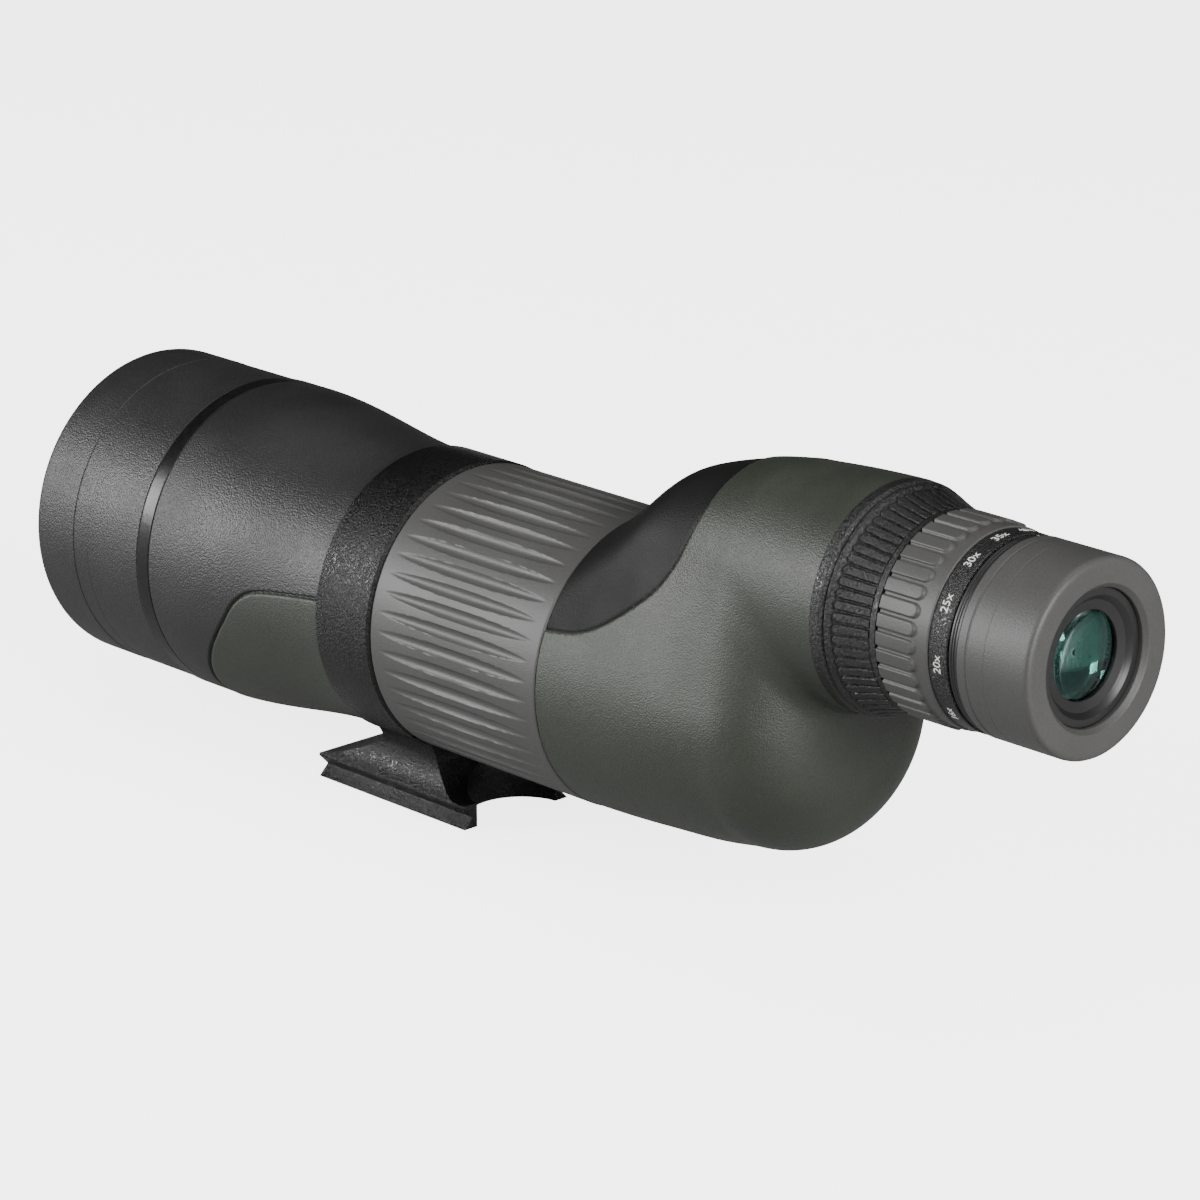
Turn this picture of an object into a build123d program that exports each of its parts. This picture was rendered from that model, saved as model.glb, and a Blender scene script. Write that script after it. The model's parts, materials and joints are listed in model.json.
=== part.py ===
from build123d import *
import os
from math import asin, cos, radians, sin

# A straight-eyepiece spotting scope, in millimetres.
# +Y points forward, towards the objective. +Z is up. +X is to the user's right.
# The origin is the centre of the tripod thread, in the bottom face of the foot.

os.makedirs("parts", exist_ok=True)

# ---------------------------------------------------------------- fits
RUN = 0.05  # radial clearance of a running fit
GAP = 0.3  # free space between pieces that move past each other

# ---------------------------------------------------------------- axes
AXIS_Z = 56.0  # optical axis of the objective, above the bottom of the foot
EYE_OFFSET = 38.4  # the prisms raise the eyepiece axis by this much
EYE_Z = AXIS_Z + EYE_OFFSET
OPTICAL_AXIS = Axis((0, 0, AXIS_Z), (0, 1, 0))
EYE_AXIS = Axis((0, 0, EYE_Z), (0, 1, 0))

# ---------------------------------------------------------------- foot and collar
FOOT_LENGTH = 60.0
FOOT_WIDTH = 38.0  # across the dovetail lips
GROOVE_DEPTH = 3.0  # the 45 degree groove in each side of the foot
LIP_HEIGHT = 6.8  # top of the upper lip
FOOT_TOP = 15.2  # where the neck runs into the collar, between the flares
WAIST = 16.0  # half width of the neck at its narrowest
WAIST_Z = 13.5
BLEND_X = 24.0  # half width where the neck runs out on the collar
NOTCH_R = 14.5  # concave recess in the rear of the foot
NOTCH_DEPTH = 12.7
COLLAR_REAR = -15.7
COLLAR_LENGTH = 21.3
COLLAR_FRONT = COLLAR_REAR + COLLAR_LENGTH
COLLAR_R = 40.0
LINER_WALL = 0.95
BEARING_R = 36.0  # the barrel's own bearing seat, inside the collar
LINER_R = BEARING_R + RUN
BORE_R = LINER_R + LINER_WALL
THREAD_R = 2.6  # minor radius of a 1/4-20 UNC thread
INSERT_R = 5.0
INSERT_LENGTH = 9.0

# ---------------------------------------------------------------- collar lock
LOCK_Y = COLLAR_REAR + COLLAR_LENGTH / 2
BOSS_R = 8.0
BOSS_X = 44.0
SHOE_R = 3.5
SHOE_LENGTH = 2.75
SHOE_BORE_X = 40.2  # end of the shoe's pocket
LOCK_SCREW_R = 3.0
LOCK_SCREW_X = 54.0
KNOB_R = 10.0
KNOB_LENGTH = 13.0
KNOB_SCALLOPS = 10
SCALLOP_R = 1.6

# ---------------------------------------------------------------- barrel
RUBBER = 2.1  # thickness of the armour on the barrel
NARROW_R = 39.1  # armour radius behind the flare
WIDE_R = 44.7  # armour radius in front of the flare
FLARE_REAR = 8.0
FLARE_LENGTH = 58.0
FLARE_FRONT = FLARE_REAR + FLARE_LENGTH
ARMOUR_REAR = COLLAR_FRONT + GAP
BAND_REAR = 71.5
BAND_LENGTH = 5.0
BAND_FRONT = BAND_REAR + BAND_LENGTH
TUBE_R = 39.0  # outside of the objective tube, inside the sunshade
TUBE_BORE = 37.2
TUBE_FRONT = 112.0
POCKET_REAR = 56.0  # bottom of the slot that the sunshade slides into
INNER_R = 33.0  # bore of the barrel's rear half
BORE_STEP = 12.0
SEAT_REAR = COLLAR_REAR - GAP / 2
FRICTION_REAR = 98.0
FRICTION_LENGTH = 3.0
FRICTION_DEPTH = 0.8
INLAY_DEPTH = 1.2
INLAY_PROUD = 0.3

# ---------------------------------------------------------------- sunshade
SHADE_BORE = TUBE_R + GAP
SHADE_TAIL_R = 40.6
SHADE_TUBE_R = 42.4
SHADE_R = 44.4
SHADE_REAR = BAND_FRONT + GAP
SHADE_TAIL = POCKET_REAR + 1.0
BUMPER_REAR = 105.1
BUMPER_LENGTH = 17.3
BUMPER_FRONT = BUMPER_REAR + BUMPER_LENGTH
BUMPER_R = 44.5
RIM = 2.9  # thickness of the rubber rim in front of the tube
SHADE_FRONT = BUMPER_FRONT - RIM
POCKET_R = SHADE_TAIL_R + GAP

# ---------------------------------------------------------------- objective
CELL_REAR = 88.0
CELL_FRONT = 110.0
LENS_R = 34.5
APERTURE_R = 32.5
CELL_LIP = 3.0
BEVEL = 1.4  # flat rim of every lens
REAR_LENS_EDGE = 6.5
SPACER_LENGTH = 1.0
FRONT_LENS_EDGE = 6.0
SEAL = 1.5
RETAINER_LENGTH = 3.5

# ---------------------------------------------------------------- focusing
GUIDE_R = 34.55  # outside of the main tube, under the focus ring
GUIDE_BORE = 31.0
GUIDE_FRONT = 3.0
FOCUS_LENGTH = 63.9
FOCUS_FRONT = COLLAR_REAR - GAP
FOCUS_REAR = FOCUS_FRONT - FOCUS_LENGTH
CORE_R = 37.2
GRIP_R = 39.6
GRIP_GROOVES = 46
GRIP_GROOVE_DEPTH = 0.9
GRIP_MARGIN = 4.5
CARRIAGE_Y = -48.0
CARRIAGE_LENGTH = 12.0
CARRIAGE_TRAVEL = 8.0
FOCUS_LENS_R = 25.0
PIN_R = 2.0
PIN_TIP = 36.0
CAM_R = 36.4
BAFFLES = ((-4.5, 26.0), (-73.5, 20.0))  # rear face and opening radius of each light baffle
BAFFLE_WALL = 1.5

# ---------------------------------------------------------------- prism housing
SKIN = 2.0  # rubber armour over the housing
SHELL = 2.2  # wall of the housing
HOUSING_FRONT = FOCUS_REAR - GAP
ROUNDING = 22.0  # radius between the housing's side and its rear face
NECK_REAR = -168.7
NECK_R = 30.3
SPLIT_Y = -124.2  # where the two halves of the housing meet
FRONT_WALL = 2.4
FRONT_HOLE_R = 29.0
# Sections of the housing: y, lower radius, lower centre z, upper radius, upper centre z.
SECTIONS = (
    (HOUSING_FRONT, 39.4, AXIS_Z, 38.7, AXIS_Z + 2.0),
    (-90.0, 39.2, AXIS_Z, 31.0, AXIS_Z + 17.0),
    (-100.0, 38.8, AXIS_Z, 26.2, AXIS_Z + 30.5),
    (-110.0, 38.2, AXIS_Z, 24.0, EYE_Z - 1.4),
    (-124.0, 37.3, AXIS_Z, 26.4, EYE_Z),
    (-136.7, 36.4, AXIS_Z + 1.0, 28.6, EYE_Z),
)
ROUNDING_ANGLES = (25, 45, 62, 76, 87)
SADDLE_POINTS = ((HOUSING_FRONT, 17.0), (-109.0, 30.0), (-118.2, 43.6), (-122.2, 66.0))
NECK_PROFILE = ((-115.7, 24.5), (-143.7, 28.0), (NECK_REAR, NECK_R))

# ---------------------------------------------------------------- prisms
BEAM_SHIFT = EYE_OFFSET / 2  # each prism moves the beam by this much across and up
PRISM_HALF = 23.1  # half of the hypotenuse
PRISM_HALF_WIDTH = 9.0
PRISM_FLAT_X = 25.5  # the outer corners are ground flat here
CARRIER_WALL = 3.0
CARRIER_REAR = SPLIT_Y - CARRIER_WALL / 2
CARRIER_FRONT = SPLIT_Y + CARRIER_WALL / 2
BEAM_R = 8.5
CROSS_BEAM_R = 6.0
CLAMP_WALL = 0.8
CLAMP_HALF_WIDTH = 3.0
CLAMP_FOOT = 3.0
CLAMP_SCREW_R = 0.8
CLAMP_HEAD_R = 1.4
CLAMP_HEAD = 0.9
CLAMP_THREAD = 1.2  # depth of each clamp screw in the carrier
BOSS_POINTS = ((-21.6, 34.4), (21.6, 34.4), (-18.6, 101.2), (18.6, 101.2))
CARRIER_BOSS_R = 3.2
CARRIER_BOSS_LENGTH = 10.0
CARRIER_SCREW_R = 1.25
CARRIER_HEAD_R = 2.2
CARRIER_HEAD = 1.6
HOUSING_SCREWS = 6
HOUSING_SCREW_R = 1.0
HOUSING_HEAD_R = 1.9
HOUSING_HEAD = 1.4
HOUSING_SCREW_DEPTH = 6.0

# ---------------------------------------------------------------- eyepiece
SEAT_LIP = 3.7
SEAT_FRONT = -160.0
SEAT_SPIGOT_R = 26.1
SPIGOT_R = 21.0
SPIGOT_FRONT = -162.0
SEAT_END = NECK_REAR - SEAT_LIP
LOCK_FRONT = SEAT_END - GAP
LOCK_LENGTH = 11.9
LOCK_REAR = LOCK_FRONT - LOCK_LENGTH
LOCK_FRONT_R = 29.8
LOCK_REAR_R = 26.3
EYE_TUBE_R = 22.05
SHOULDER_FRONT = LOCK_REAR - GAP
SHOULDER_LENGTH = 1.7
SHOULDER_R = 26.2
SHOULDER_REAR = SHOULDER_FRONT - SHOULDER_LENGTH
ZOOM_FRONT = SHOULDER_REAR - GAP
ZOOM_GRIP_LENGTH = 16.4
SCALE_LENGTH = 5.9
ZOOM_GRIP_REAR = ZOOM_FRONT - ZOOM_GRIP_LENGTH
ZOOM_REAR = ZOOM_GRIP_REAR - SCALE_LENGTH
ZOOM_CORE_R = 24.2
ZOOM_GRIP_R = 26.5
SCALE_R = 25.3
INDEX_FRONT = ZOOM_REAR - GAP
INDEX_LENGTH = 2.7
INDEX_REAR = INDEX_FRONT - INDEX_LENGTH
INDEX_R = 24.8
FIELD_BORE = 17.0
ZOOM_BORE = 19.0
ZOOM_CAM_R = 23.4
ZOOM_PIN_R = 1.2
ZOOM_PIN_TIP = 23.2
ZOOM_CELL_LENGTH = 6.0
ZOOM_LENS_R = 14.0
FRONT_GROUP_Y = -194.5
FRONT_GROUP_FORWARD = 4.0
FRONT_GROUP_BACK = 0.5
REAR_GROUP_Y = -201.8
REAR_GROUP_FORWARD = 0.4
REAR_GROUP_BACK = 3.5
FIELD_STOP_Y = -170.0
FIELD_LENS_Y = -180.0
FIELD_LENS_EDGE = 4.0

# ---------------------------------------------------------------- eyecup and eye lens
TAIL_R = 20.6
TAIL_BORE = 17.2
CUP_FRONT = INDEX_REAR - GAP
CUP_LENGTH = 22.7
CUP_REAR = CUP_FRONT - CUP_LENGTH
CUP_LIP = 2.7
CUP_LIP_FRONT = CUP_REAR + CUP_LIP
CUP_R = 25.4
CUP_CORE_R = 23.6
CUP_HOLE_R = 17.5
TAIL_REAR = CUP_LIP_FRONT + GAP
GUIDE_RING_WALL = 1.25
GUIDE_RING_LENGTH = 10.0
GUIDE_RING_REAR = TAIL_REAR + 1.2
EYE_LENS_R = 13.0
EYE_APERTURE_R = 11.4
EYE_CELL_FRONT = -212.0
EYE_CELL_REAR = -232.9
EYE_FACE = -231.1
EYE_LIP = 0.8


def outline(axis_z, points):
    """A closed outline in the YZ plane: each point is (y, distance from the axis at height axis_z)."""
    with BuildSketch(Plane.YZ) as section:
        with BuildLine():
            Polyline([(y, axis_z + r) for y, r in points], close=True)
        make_face()
    return section.sketch


def main_outline(points):
    return outline(AXIS_Z, points)


def eye_outline(points):
    return outline(EYE_Z, points)


def tube(rear, front, inner, outer):
    """The four corners of a plain ring's outline."""
    return [(rear, inner), (front, inner), (front, outer), (rear, outer)]


def lens(axis_z, rear, front, radius, rear_bulge, front_bulge):
    """A lens outline: a flat bevelled rim, and two curved faces that bulge outwards by their own amounts."""
    clear = radius - BEVEL
    middle = clear / 2
    front_curve = (clear**2 + front_bulge**2) / (2 * abs(front_bulge))
    rear_curve = (clear**2 + rear_bulge**2) / (2 * abs(rear_bulge))
    front_share = 1 - (front_curve - (front_curve**2 - middle**2) ** 0.5) / abs(front_bulge)
    rear_share = 1 - (rear_curve - (rear_curve**2 - middle**2) ** 0.5) / abs(rear_bulge)
    with BuildSketch(Plane.YZ) as section:
        with BuildLine():
            Polyline(
                (rear, axis_z + clear),
                (rear, axis_z + radius),
                (front, axis_z + radius),
                (front, axis_z + clear),
            )
            ThreePointArc(
                (front, axis_z + clear),
                (front + front_bulge * front_share, axis_z + middle),
                (front + front_bulge, axis_z),
            )
            Line((front + front_bulge, axis_z), (rear - rear_bulge, axis_z))
            ThreePointArc(
                (rear - rear_bulge, axis_z),
                (rear - rear_bulge * rear_share, axis_z + middle),
                (rear, axis_z + clear),
            )
        make_face()
    return section.sketch


def flare(inset, rear, front, base_r):
    """The barrel's flared outline, inset from the armour's surface and closed at radius base_r."""
    narrow = AXIS_Z + NARROW_R - inset
    wide = AXIS_Z + WIDE_R - inset
    with BuildSketch(Plane.YZ) as section:
        with BuildLine():
            Line((rear, AXIS_Z + base_r), (rear, narrow))
            Line((rear, narrow), (FLARE_REAR, narrow))
            Bezier(
                (FLARE_REAR, narrow),
                (FLARE_REAR + FLARE_LENGTH / 3, narrow),
                (FLARE_FRONT - FLARE_LENGTH / 3, wide),
                (FLARE_FRONT, wide),
            )
            Line((FLARE_FRONT, wide), (front, wide))
            Line((front, wide), (front, AXIS_Z + base_r))
            Line((front, AXIS_Z + base_r), (rear, AXIS_Z + base_r))
        make_face()
    return section.sketch


def radial_plane(y, axis_z, angle):
    """A plane on the axis at y, whose normal points out from the axis and whose x runs along it."""
    normal = (cos(radians(angle)), 0, sin(radians(angle)))
    return Plane(origin=(0, y, axis_z), x_dir=(0, 1, 0), z_dir=normal)


def station(y):
    """A plane across the scope at y: its x is the row's X and its y is the row's Z."""
    return Plane(origin=(0, y, 0), x_dir=(1, 0, 0), z_dir=(0, -1, 0))


# ================================================================ mount
with BuildPart() as tripod_collar:
    with BuildSketch(station(FOOT_LENGTH / 2)):
        with BuildLine():
            half = FOOT_WIDTH / 2
            blend_z = AXIS_Z - (COLLAR_R**2 - BLEND_X**2) ** 0.5
            Polyline(
                (0, 0),
                (half, 0),
                (half - GROOVE_DEPTH, GROOVE_DEPTH),
                (half, 2 * GROOVE_DEPTH),
                (half, LIP_HEIGHT),
            )
            ThreePointArc((half, LIP_HEIGHT), (WAIST, WAIST_Z), (BLEND_X, blend_z))
            Polyline((BLEND_X, blend_z), (0, blend_z))
            mirror(about=Plane.YZ)
        make_face()
    extrude(amount=FOOT_LENGTH)
    with BuildSketch(Plane.YZ):
        with BuildLine():
            front = FOOT_LENGTH / 2
            Polyline((-front, LIP_HEIGHT), (-front, 0), (front, 0), (front, LIP_HEIGHT))
            ThreePointArc((front, LIP_HEIGHT), (front / 2, 11.6), (COLLAR_FRONT, FOOT_TOP + 1))
            Polyline((COLLAR_FRONT, FOOT_TOP + 1), (COLLAR_FRONT, AXIS_Z), (COLLAR_REAR, AXIS_Z))
            Line((COLLAR_REAR, AXIS_Z), (COLLAR_REAR, FOOT_TOP))
            ThreePointArc((COLLAR_REAR, FOOT_TOP), (COLLAR_REAR - 3.0, 10.4), (-front, LIP_HEIGHT))
        make_face()
    extrude(amount=FOOT_WIDTH, both=True, mode=Mode.INTERSECT)
    with BuildSketch(Plane.XY):
        with Locations((0, -FOOT_LENGTH / 2 + NOTCH_DEPTH - NOTCH_R)):
            Circle(NOTCH_R)
    extrude(amount=AXIS_Z, mode=Mode.SUBTRACT)
    with BuildSketch(Plane.YZ) as ring_section:
        with BuildLine():
            Polyline(
                (COLLAR_REAR, AXIS_Z + BORE_R),
                (COLLAR_FRONT, AXIS_Z + BORE_R),
                (COLLAR_FRONT, AXIS_Z + COLLAR_R),
                (COLLAR_REAR + 1.0, AXIS_Z + COLLAR_R),
                (COLLAR_REAR, AXIS_Z + COLLAR_R - 1.0),
                close=True,
            )
        make_face()
    revolve(axis=OPTICAL_AXIS)
    with BuildSketch(Plane.YZ):
        with Locations((LOCK_Y, AXIS_Z)):
            Circle(BOSS_R)
    extrude(amount=BOSS_X)
    revolve(main_outline(tube(COLLAR_REAR, COLLAR_FRONT, 0, BORE_R)), axis=OPTICAL_AXIS, mode=Mode.SUBTRACT)
    with BuildSketch(Plane.YZ):
        with Locations((LOCK_Y, AXIS_Z)):
            Circle(SHOE_R + RUN)
    extrude(amount=SHOE_BORE_X, mode=Mode.SUBTRACT)
    with BuildSketch(Plane.YZ):
        with Locations((LOCK_Y, AXIS_Z)):
            Circle(LOCK_SCREW_R + RUN)
    extrude(amount=BOSS_X, mode=Mode.SUBTRACT)
    with BuildSketch(Plane.XY):
        Circle(INSERT_R)
    extrude(amount=INSERT_LENGTH, mode=Mode.SUBTRACT)
tripod_collar.part.label = "tripod_collar"
export_step(tripod_collar.part, "parts/tripod_collar.step")

with BuildPart() as collar_liner:
    revolve(main_outline(tube(COLLAR_REAR + RUN, COLLAR_FRONT - RUN, LINER_R, BORE_R)), axis=OPTICAL_AXIS)
    with BuildSketch(Plane.YZ):
        with Locations((LOCK_Y, AXIS_Z)):
            Circle(SHOE_R + RUN)
    extrude(amount=COLLAR_R, mode=Mode.SUBTRACT)
collar_liner.part.label = "collar_liner"
export_step(collar_liner.part, "parts/collar_liner.step")

with BuildPart() as tripod_thread_insert:
    with BuildSketch(Plane.XY):
        Circle(INSERT_R)
        Circle(THREAD_R, mode=Mode.SUBTRACT)
    extrude(amount=INSERT_LENGTH)
tripod_thread_insert.part.label = "tripod_thread_insert"
export_step(tripod_thread_insert.part, "parts/tripod_thread_insert.step")

# ================================================================ collar lock
SHOE_X = BEARING_R + RUN
SHOE_END_X = SHOE_X + SHOE_LENGTH
KNOB_X = BOSS_X + 2 * GAP

with BuildPart() as lock_shoe:
    with BuildSketch(Plane.YZ.offset(SHOE_X)):
        with Locations((LOCK_Y, AXIS_Z)):
            Circle(SHOE_R)
    extrude(amount=SHOE_LENGTH)
lock_shoe.part.label = "lock_shoe"
export_step(lock_shoe.part, "parts/lock_shoe.step")

with BuildPart() as lock_screw:
    with BuildSketch(Plane.YZ.offset(SHOE_END_X)):
        with Locations((LOCK_Y, AXIS_Z)):
            Circle(LOCK_SCREW_R)
    extrude(amount=LOCK_SCREW_X - SHOE_END_X)
lock_screw.part.label = "lock_screw"
export_step(lock_screw.part, "parts/lock_screw.step")

with BuildPart() as lock_knob:
    with BuildSketch(Plane.YZ.offset(KNOB_X)):
        with Locations((LOCK_Y, AXIS_Z)):
            Circle(KNOB_R)
    extrude(amount=KNOB_LENGTH)
    chamfer(lock_knob.edges().group_by(Axis.X)[-1], length=0.8)
    with BuildSketch(Plane.YZ.offset(KNOB_X)):
        with Locations((LOCK_Y, AXIS_Z)):
            with PolarLocations(KNOB_R + SCALLOP_R / 2, KNOB_SCALLOPS):
                Circle(SCALLOP_R)
    extrude(amount=KNOB_LENGTH, mode=Mode.SUBTRACT)
    with BuildSketch(Plane.YZ.offset(KNOB_X)):
        with Locations((LOCK_Y, AXIS_Z)):
            Circle(LOCK_SCREW_R)
    extrude(amount=LOCK_SCREW_X - KNOB_X, mode=Mode.SUBTRACT)
lock_knob.part.label = "lock_knob"
export_step(lock_knob.part, "parts/lock_knob.step")

# ================================================================ barrel
with BuildPart() as barrel_tube:
    with BuildSketch(Plane.YZ):
        with BuildLine():
            narrow = AXIS_Z + NARROW_R - RUBBER
            wide = AXIS_Z + WIDE_R - RUBBER
            groove_front = FRICTION_REAR + FRICTION_LENGTH
            Bezier(
                (FLARE_REAR, narrow),
                (FLARE_REAR + FLARE_LENGTH / 3, narrow),
                (FLARE_FRONT - FLARE_LENGTH / 3, wide),
                (FLARE_FRONT, wide),
            )
            Polyline(
                (FLARE_FRONT, wide),
                (BAND_FRONT, wide),
                (BAND_FRONT, AXIS_Z + POCKET_R),
                (POCKET_REAR, AXIS_Z + POCKET_R),
                (POCKET_REAR, AXIS_Z + TUBE_R),
                (FRICTION_REAR, AXIS_Z + TUBE_R),
                (FRICTION_REAR, AXIS_Z + TUBE_R - FRICTION_DEPTH),
                (groove_front, AXIS_Z + TUBE_R - FRICTION_DEPTH),
                (groove_front, AXIS_Z + TUBE_R),
                (TUBE_FRONT, AXIS_Z + TUBE_R),
                (TUBE_FRONT, AXIS_Z + TUBE_BORE),
                (POCKET_REAR, AXIS_Z + TUBE_BORE),
                (BORE_STEP, AXIS_Z + INNER_R),
                (SEAT_REAR, AXIS_Z + INNER_R),
                (SEAT_REAR, AXIS_Z + BEARING_R),
                (COLLAR_FRONT, AXIS_Z + BEARING_R),
                (COLLAR_FRONT, narrow),
                (FLARE_REAR, narrow),
            )
        make_face()
    revolve(axis=OPTICAL_AXIS)
barrel_tube.part.label = "barrel_tube"
export_step(barrel_tube.part, "parts/barrel_tube.step")

# The inlay's outline, seen from the side: it wraps under the barrel from one side to the other.
INLAY_REAR = ARMOUR_REAR + 2.0
with BuildSketch(Plane.YZ) as inlay_side:
    with BuildLine():
        Line((INLAY_REAR, AXIS_Z + 5.2), (29.0, AXIS_Z + 2.6))
        ThreePointArc((29.0, AXIS_Z + 2.6), (36.2, AXIS_Z - 0.5), (41.0, AXIS_Z - 6.5))
        ThreePointArc((41.0, AXIS_Z - 6.5), (51.8, AXIS_Z - 20.0), (61.0, AXIS_Z - 36.0))
        Line((61.0, AXIS_Z - 36.0), (62.5, AXIS_Z - WIDE_R - 2.0))
        Line((62.5, AXIS_Z - WIDE_R - 2.0), (INLAY_REAR, AXIS_Z - WIDE_R - 2.0))
        Line((INLAY_REAR, AXIS_Z - WIDE_R - 2.0), (INLAY_REAR, AXIS_Z + 5.2))
    make_face()

with BuildPart() as barrel_inlay:
    revolve(flare(-INLAY_PROUD, ARMOUR_REAR, BAND_REAR, INNER_R), axis=OPTICAL_AXIS)
    revolve(
        flare(INLAY_DEPTH, ARMOUR_REAR - 1.0, BAND_REAR + 1.0, 0), axis=OPTICAL_AXIS, mode=Mode.SUBTRACT
    )
    extrude(inlay_side.sketch, amount=WIDE_R + 2.0, both=True, mode=Mode.INTERSECT)
barrel_inlay.part.label = "barrel_inlay"
export_step(barrel_inlay.part, "parts/barrel_inlay.step")

with BuildPart() as barrel_armour:
    revolve(flare(0, ARMOUR_REAR, BAND_REAR, INNER_R), axis=OPTICAL_AXIS)
    revolve(flare(RUBBER, ARMOUR_REAR - 1.0, BAND_REAR + 1.0, 0), axis=OPTICAL_AXIS, mode=Mode.SUBTRACT)
    add(barrel_inlay.part, mode=Mode.SUBTRACT)
barrel_armour.part.label = "barrel_armour"
export_step(barrel_armour.part, "parts/barrel_armour.step")

with BuildPart() as front_band:
    revolve(main_outline(tube(BAND_REAR, BAND_FRONT, WIDE_R - RUBBER, WIDE_R)), axis=OPTICAL_AXIS)
front_band.part.label = "front_band"
export_step(front_band.part, "parts/front_band.step")

with BuildPart() as sunshade_friction_ring:
    revolve(
        main_outline(
            tube(FRICTION_REAR, FRICTION_REAR + FRICTION_LENGTH, TUBE_R - FRICTION_DEPTH, SHADE_BORE - RUN)
        ),
        axis=OPTICAL_AXIS,
    )
sunshade_friction_ring.part.label = "sunshade_friction_ring"
export_step(sunshade_friction_ring.part, "parts/sunshade_friction_ring.step")

# ================================================================ sunshade
with BuildPart() as sunshade_tube:
    revolve(main_outline(tube(SHADE_TAIL, SHADE_REAR, SHADE_BORE, SHADE_TAIL_R)), axis=OPTICAL_AXIS)
    revolve(main_outline(tube(SHADE_REAR, SHADE_FRONT, SHADE_BORE, SHADE_TUBE_R)), axis=OPTICAL_AXIS)
sunshade_tube.part.label = "sunshade_tube"
export_step(sunshade_tube.part, "parts/sunshade_tube.step")

with BuildPart() as sunshade_armour:
    revolve(main_outline(tube(SHADE_REAR, BUMPER_REAR, SHADE_TUBE_R, SHADE_R)), axis=OPTICAL_AXIS)
sunshade_armour.part.label = "sunshade_armour"
export_step(sunshade_armour.part, "parts/sunshade_armour.step")

with BuildPart() as sunshade_bumper:
    revolve(main_outline(tube(BUMPER_REAR, BUMPER_FRONT, SHADE_TUBE_R, BUMPER_R)), axis=OPTICAL_AXIS)
    revolve(main_outline(tube(SHADE_FRONT, BUMPER_FRONT, SHADE_BORE, BUMPER_R)), axis=OPTICAL_AXIS)
    fillet(sunshade_bumper.edges().group_by(Axis.Y)[-1].sort_by(SortBy.RADIUS)[-1], radius=2.2)
    fillet(sunshade_bumper.edges().group_by(Axis.Y)[-1].sort_by(SortBy.RADIUS)[0], radius=1.4)
sunshade_bumper.part.label = "sunshade_bumper"
export_step(sunshade_bumper.part, "parts/sunshade_bumper.step")

# ================================================================ objective
REAR_LENS_REAR = CELL_REAR + CELL_LIP
REAR_LENS_FRONT = REAR_LENS_REAR + REAR_LENS_EDGE
FRONT_LENS_REAR = REAR_LENS_FRONT + SPACER_LENGTH
FRONT_LENS_FRONT = FRONT_LENS_REAR + FRONT_LENS_EDGE
SEAL_FRONT = FRONT_LENS_FRONT + SEAL
CROWN_FRONT_BULGE = 4.0
CROWN_REAR_BULGE = 2.6
FLINT_FRONT_BULGE = -2.9
FLINT_REAR_BULGE = -0.8

with BuildPart() as objective_cell:
    revolve(main_outline(tube(CELL_REAR, CELL_FRONT, APERTURE_R, TUBE_BORE)), axis=OPTICAL_AXIS)
    revolve(
        main_outline(tube(REAR_LENS_REAR, CELL_FRONT, 0, LENS_R)), axis=OPTICAL_AXIS, mode=Mode.SUBTRACT
    )
objective_cell.part.label = "objective_cell"
export_step(objective_cell.part, "parts/objective_cell.step")

with BuildPart() as objective_rear_lens:
    revolve(
        lens(AXIS_Z, REAR_LENS_REAR, REAR_LENS_FRONT, LENS_R, FLINT_REAR_BULGE, FLINT_FRONT_BULGE),
        axis=OPTICAL_AXIS,
    )
objective_rear_lens.part.label = "objective_rear_lens"
export_step(objective_rear_lens.part, "parts/objective_rear_lens.step")

with BuildPart() as objective_spacer:
    revolve(main_outline(tube(REAR_LENS_FRONT, FRONT_LENS_REAR, LENS_R - 1.2, LENS_R)), axis=OPTICAL_AXIS)
objective_spacer.part.label = "objective_spacer"
export_step(objective_spacer.part, "parts/objective_spacer.step")

with BuildPart() as objective_front_lens:
    revolve(
        lens(AXIS_Z, FRONT_LENS_REAR, FRONT_LENS_FRONT, LENS_R, CROWN_REAR_BULGE, CROWN_FRONT_BULGE),
        axis=OPTICAL_AXIS,
    )
objective_front_lens.part.label = "objective_front_lens"
export_step(objective_front_lens.part, "parts/objective_front_lens.step")
with BuildPart() as objective_oring:
    revolve(main_outline(tube(FRONT_LENS_FRONT, SEAL_FRONT, LENS_R - BEVEL, LENS_R)), axis=OPTICAL_AXIS)
objective_oring.part.label = "objective_oring"
export_step(objective_oring.part, "parts/objective_oring.step")

with BuildPart() as objective_retainer:
    revolve(
        main_outline(tube(SEAL_FRONT, SEAL_FRONT + RETAINER_LENGTH, LENS_R - BEVEL, LENS_R)),
        axis=OPTICAL_AXIS,
    )
    with BuildSketch(Plane.XZ.offset(-SEAL_FRONT - RETAINER_LENGTH)):
        with Locations((LENS_R, AXIS_Z), (-LENS_R, AXIS_Z)):
            Rectangle(4 * BEVEL, 2.0)
    extrude(amount=1.2, mode=Mode.SUBTRACT)
objective_retainer.part.label = "objective_retainer"
export_step(objective_retainer.part, "parts/objective_retainer.step")

# ================================================================ focusing
PIN_ANGLES = (90, 210, 330)
SLOT_LENGTH = 2 * (CARRIAGE_TRAVEL + PIN_R + GAP)

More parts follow.
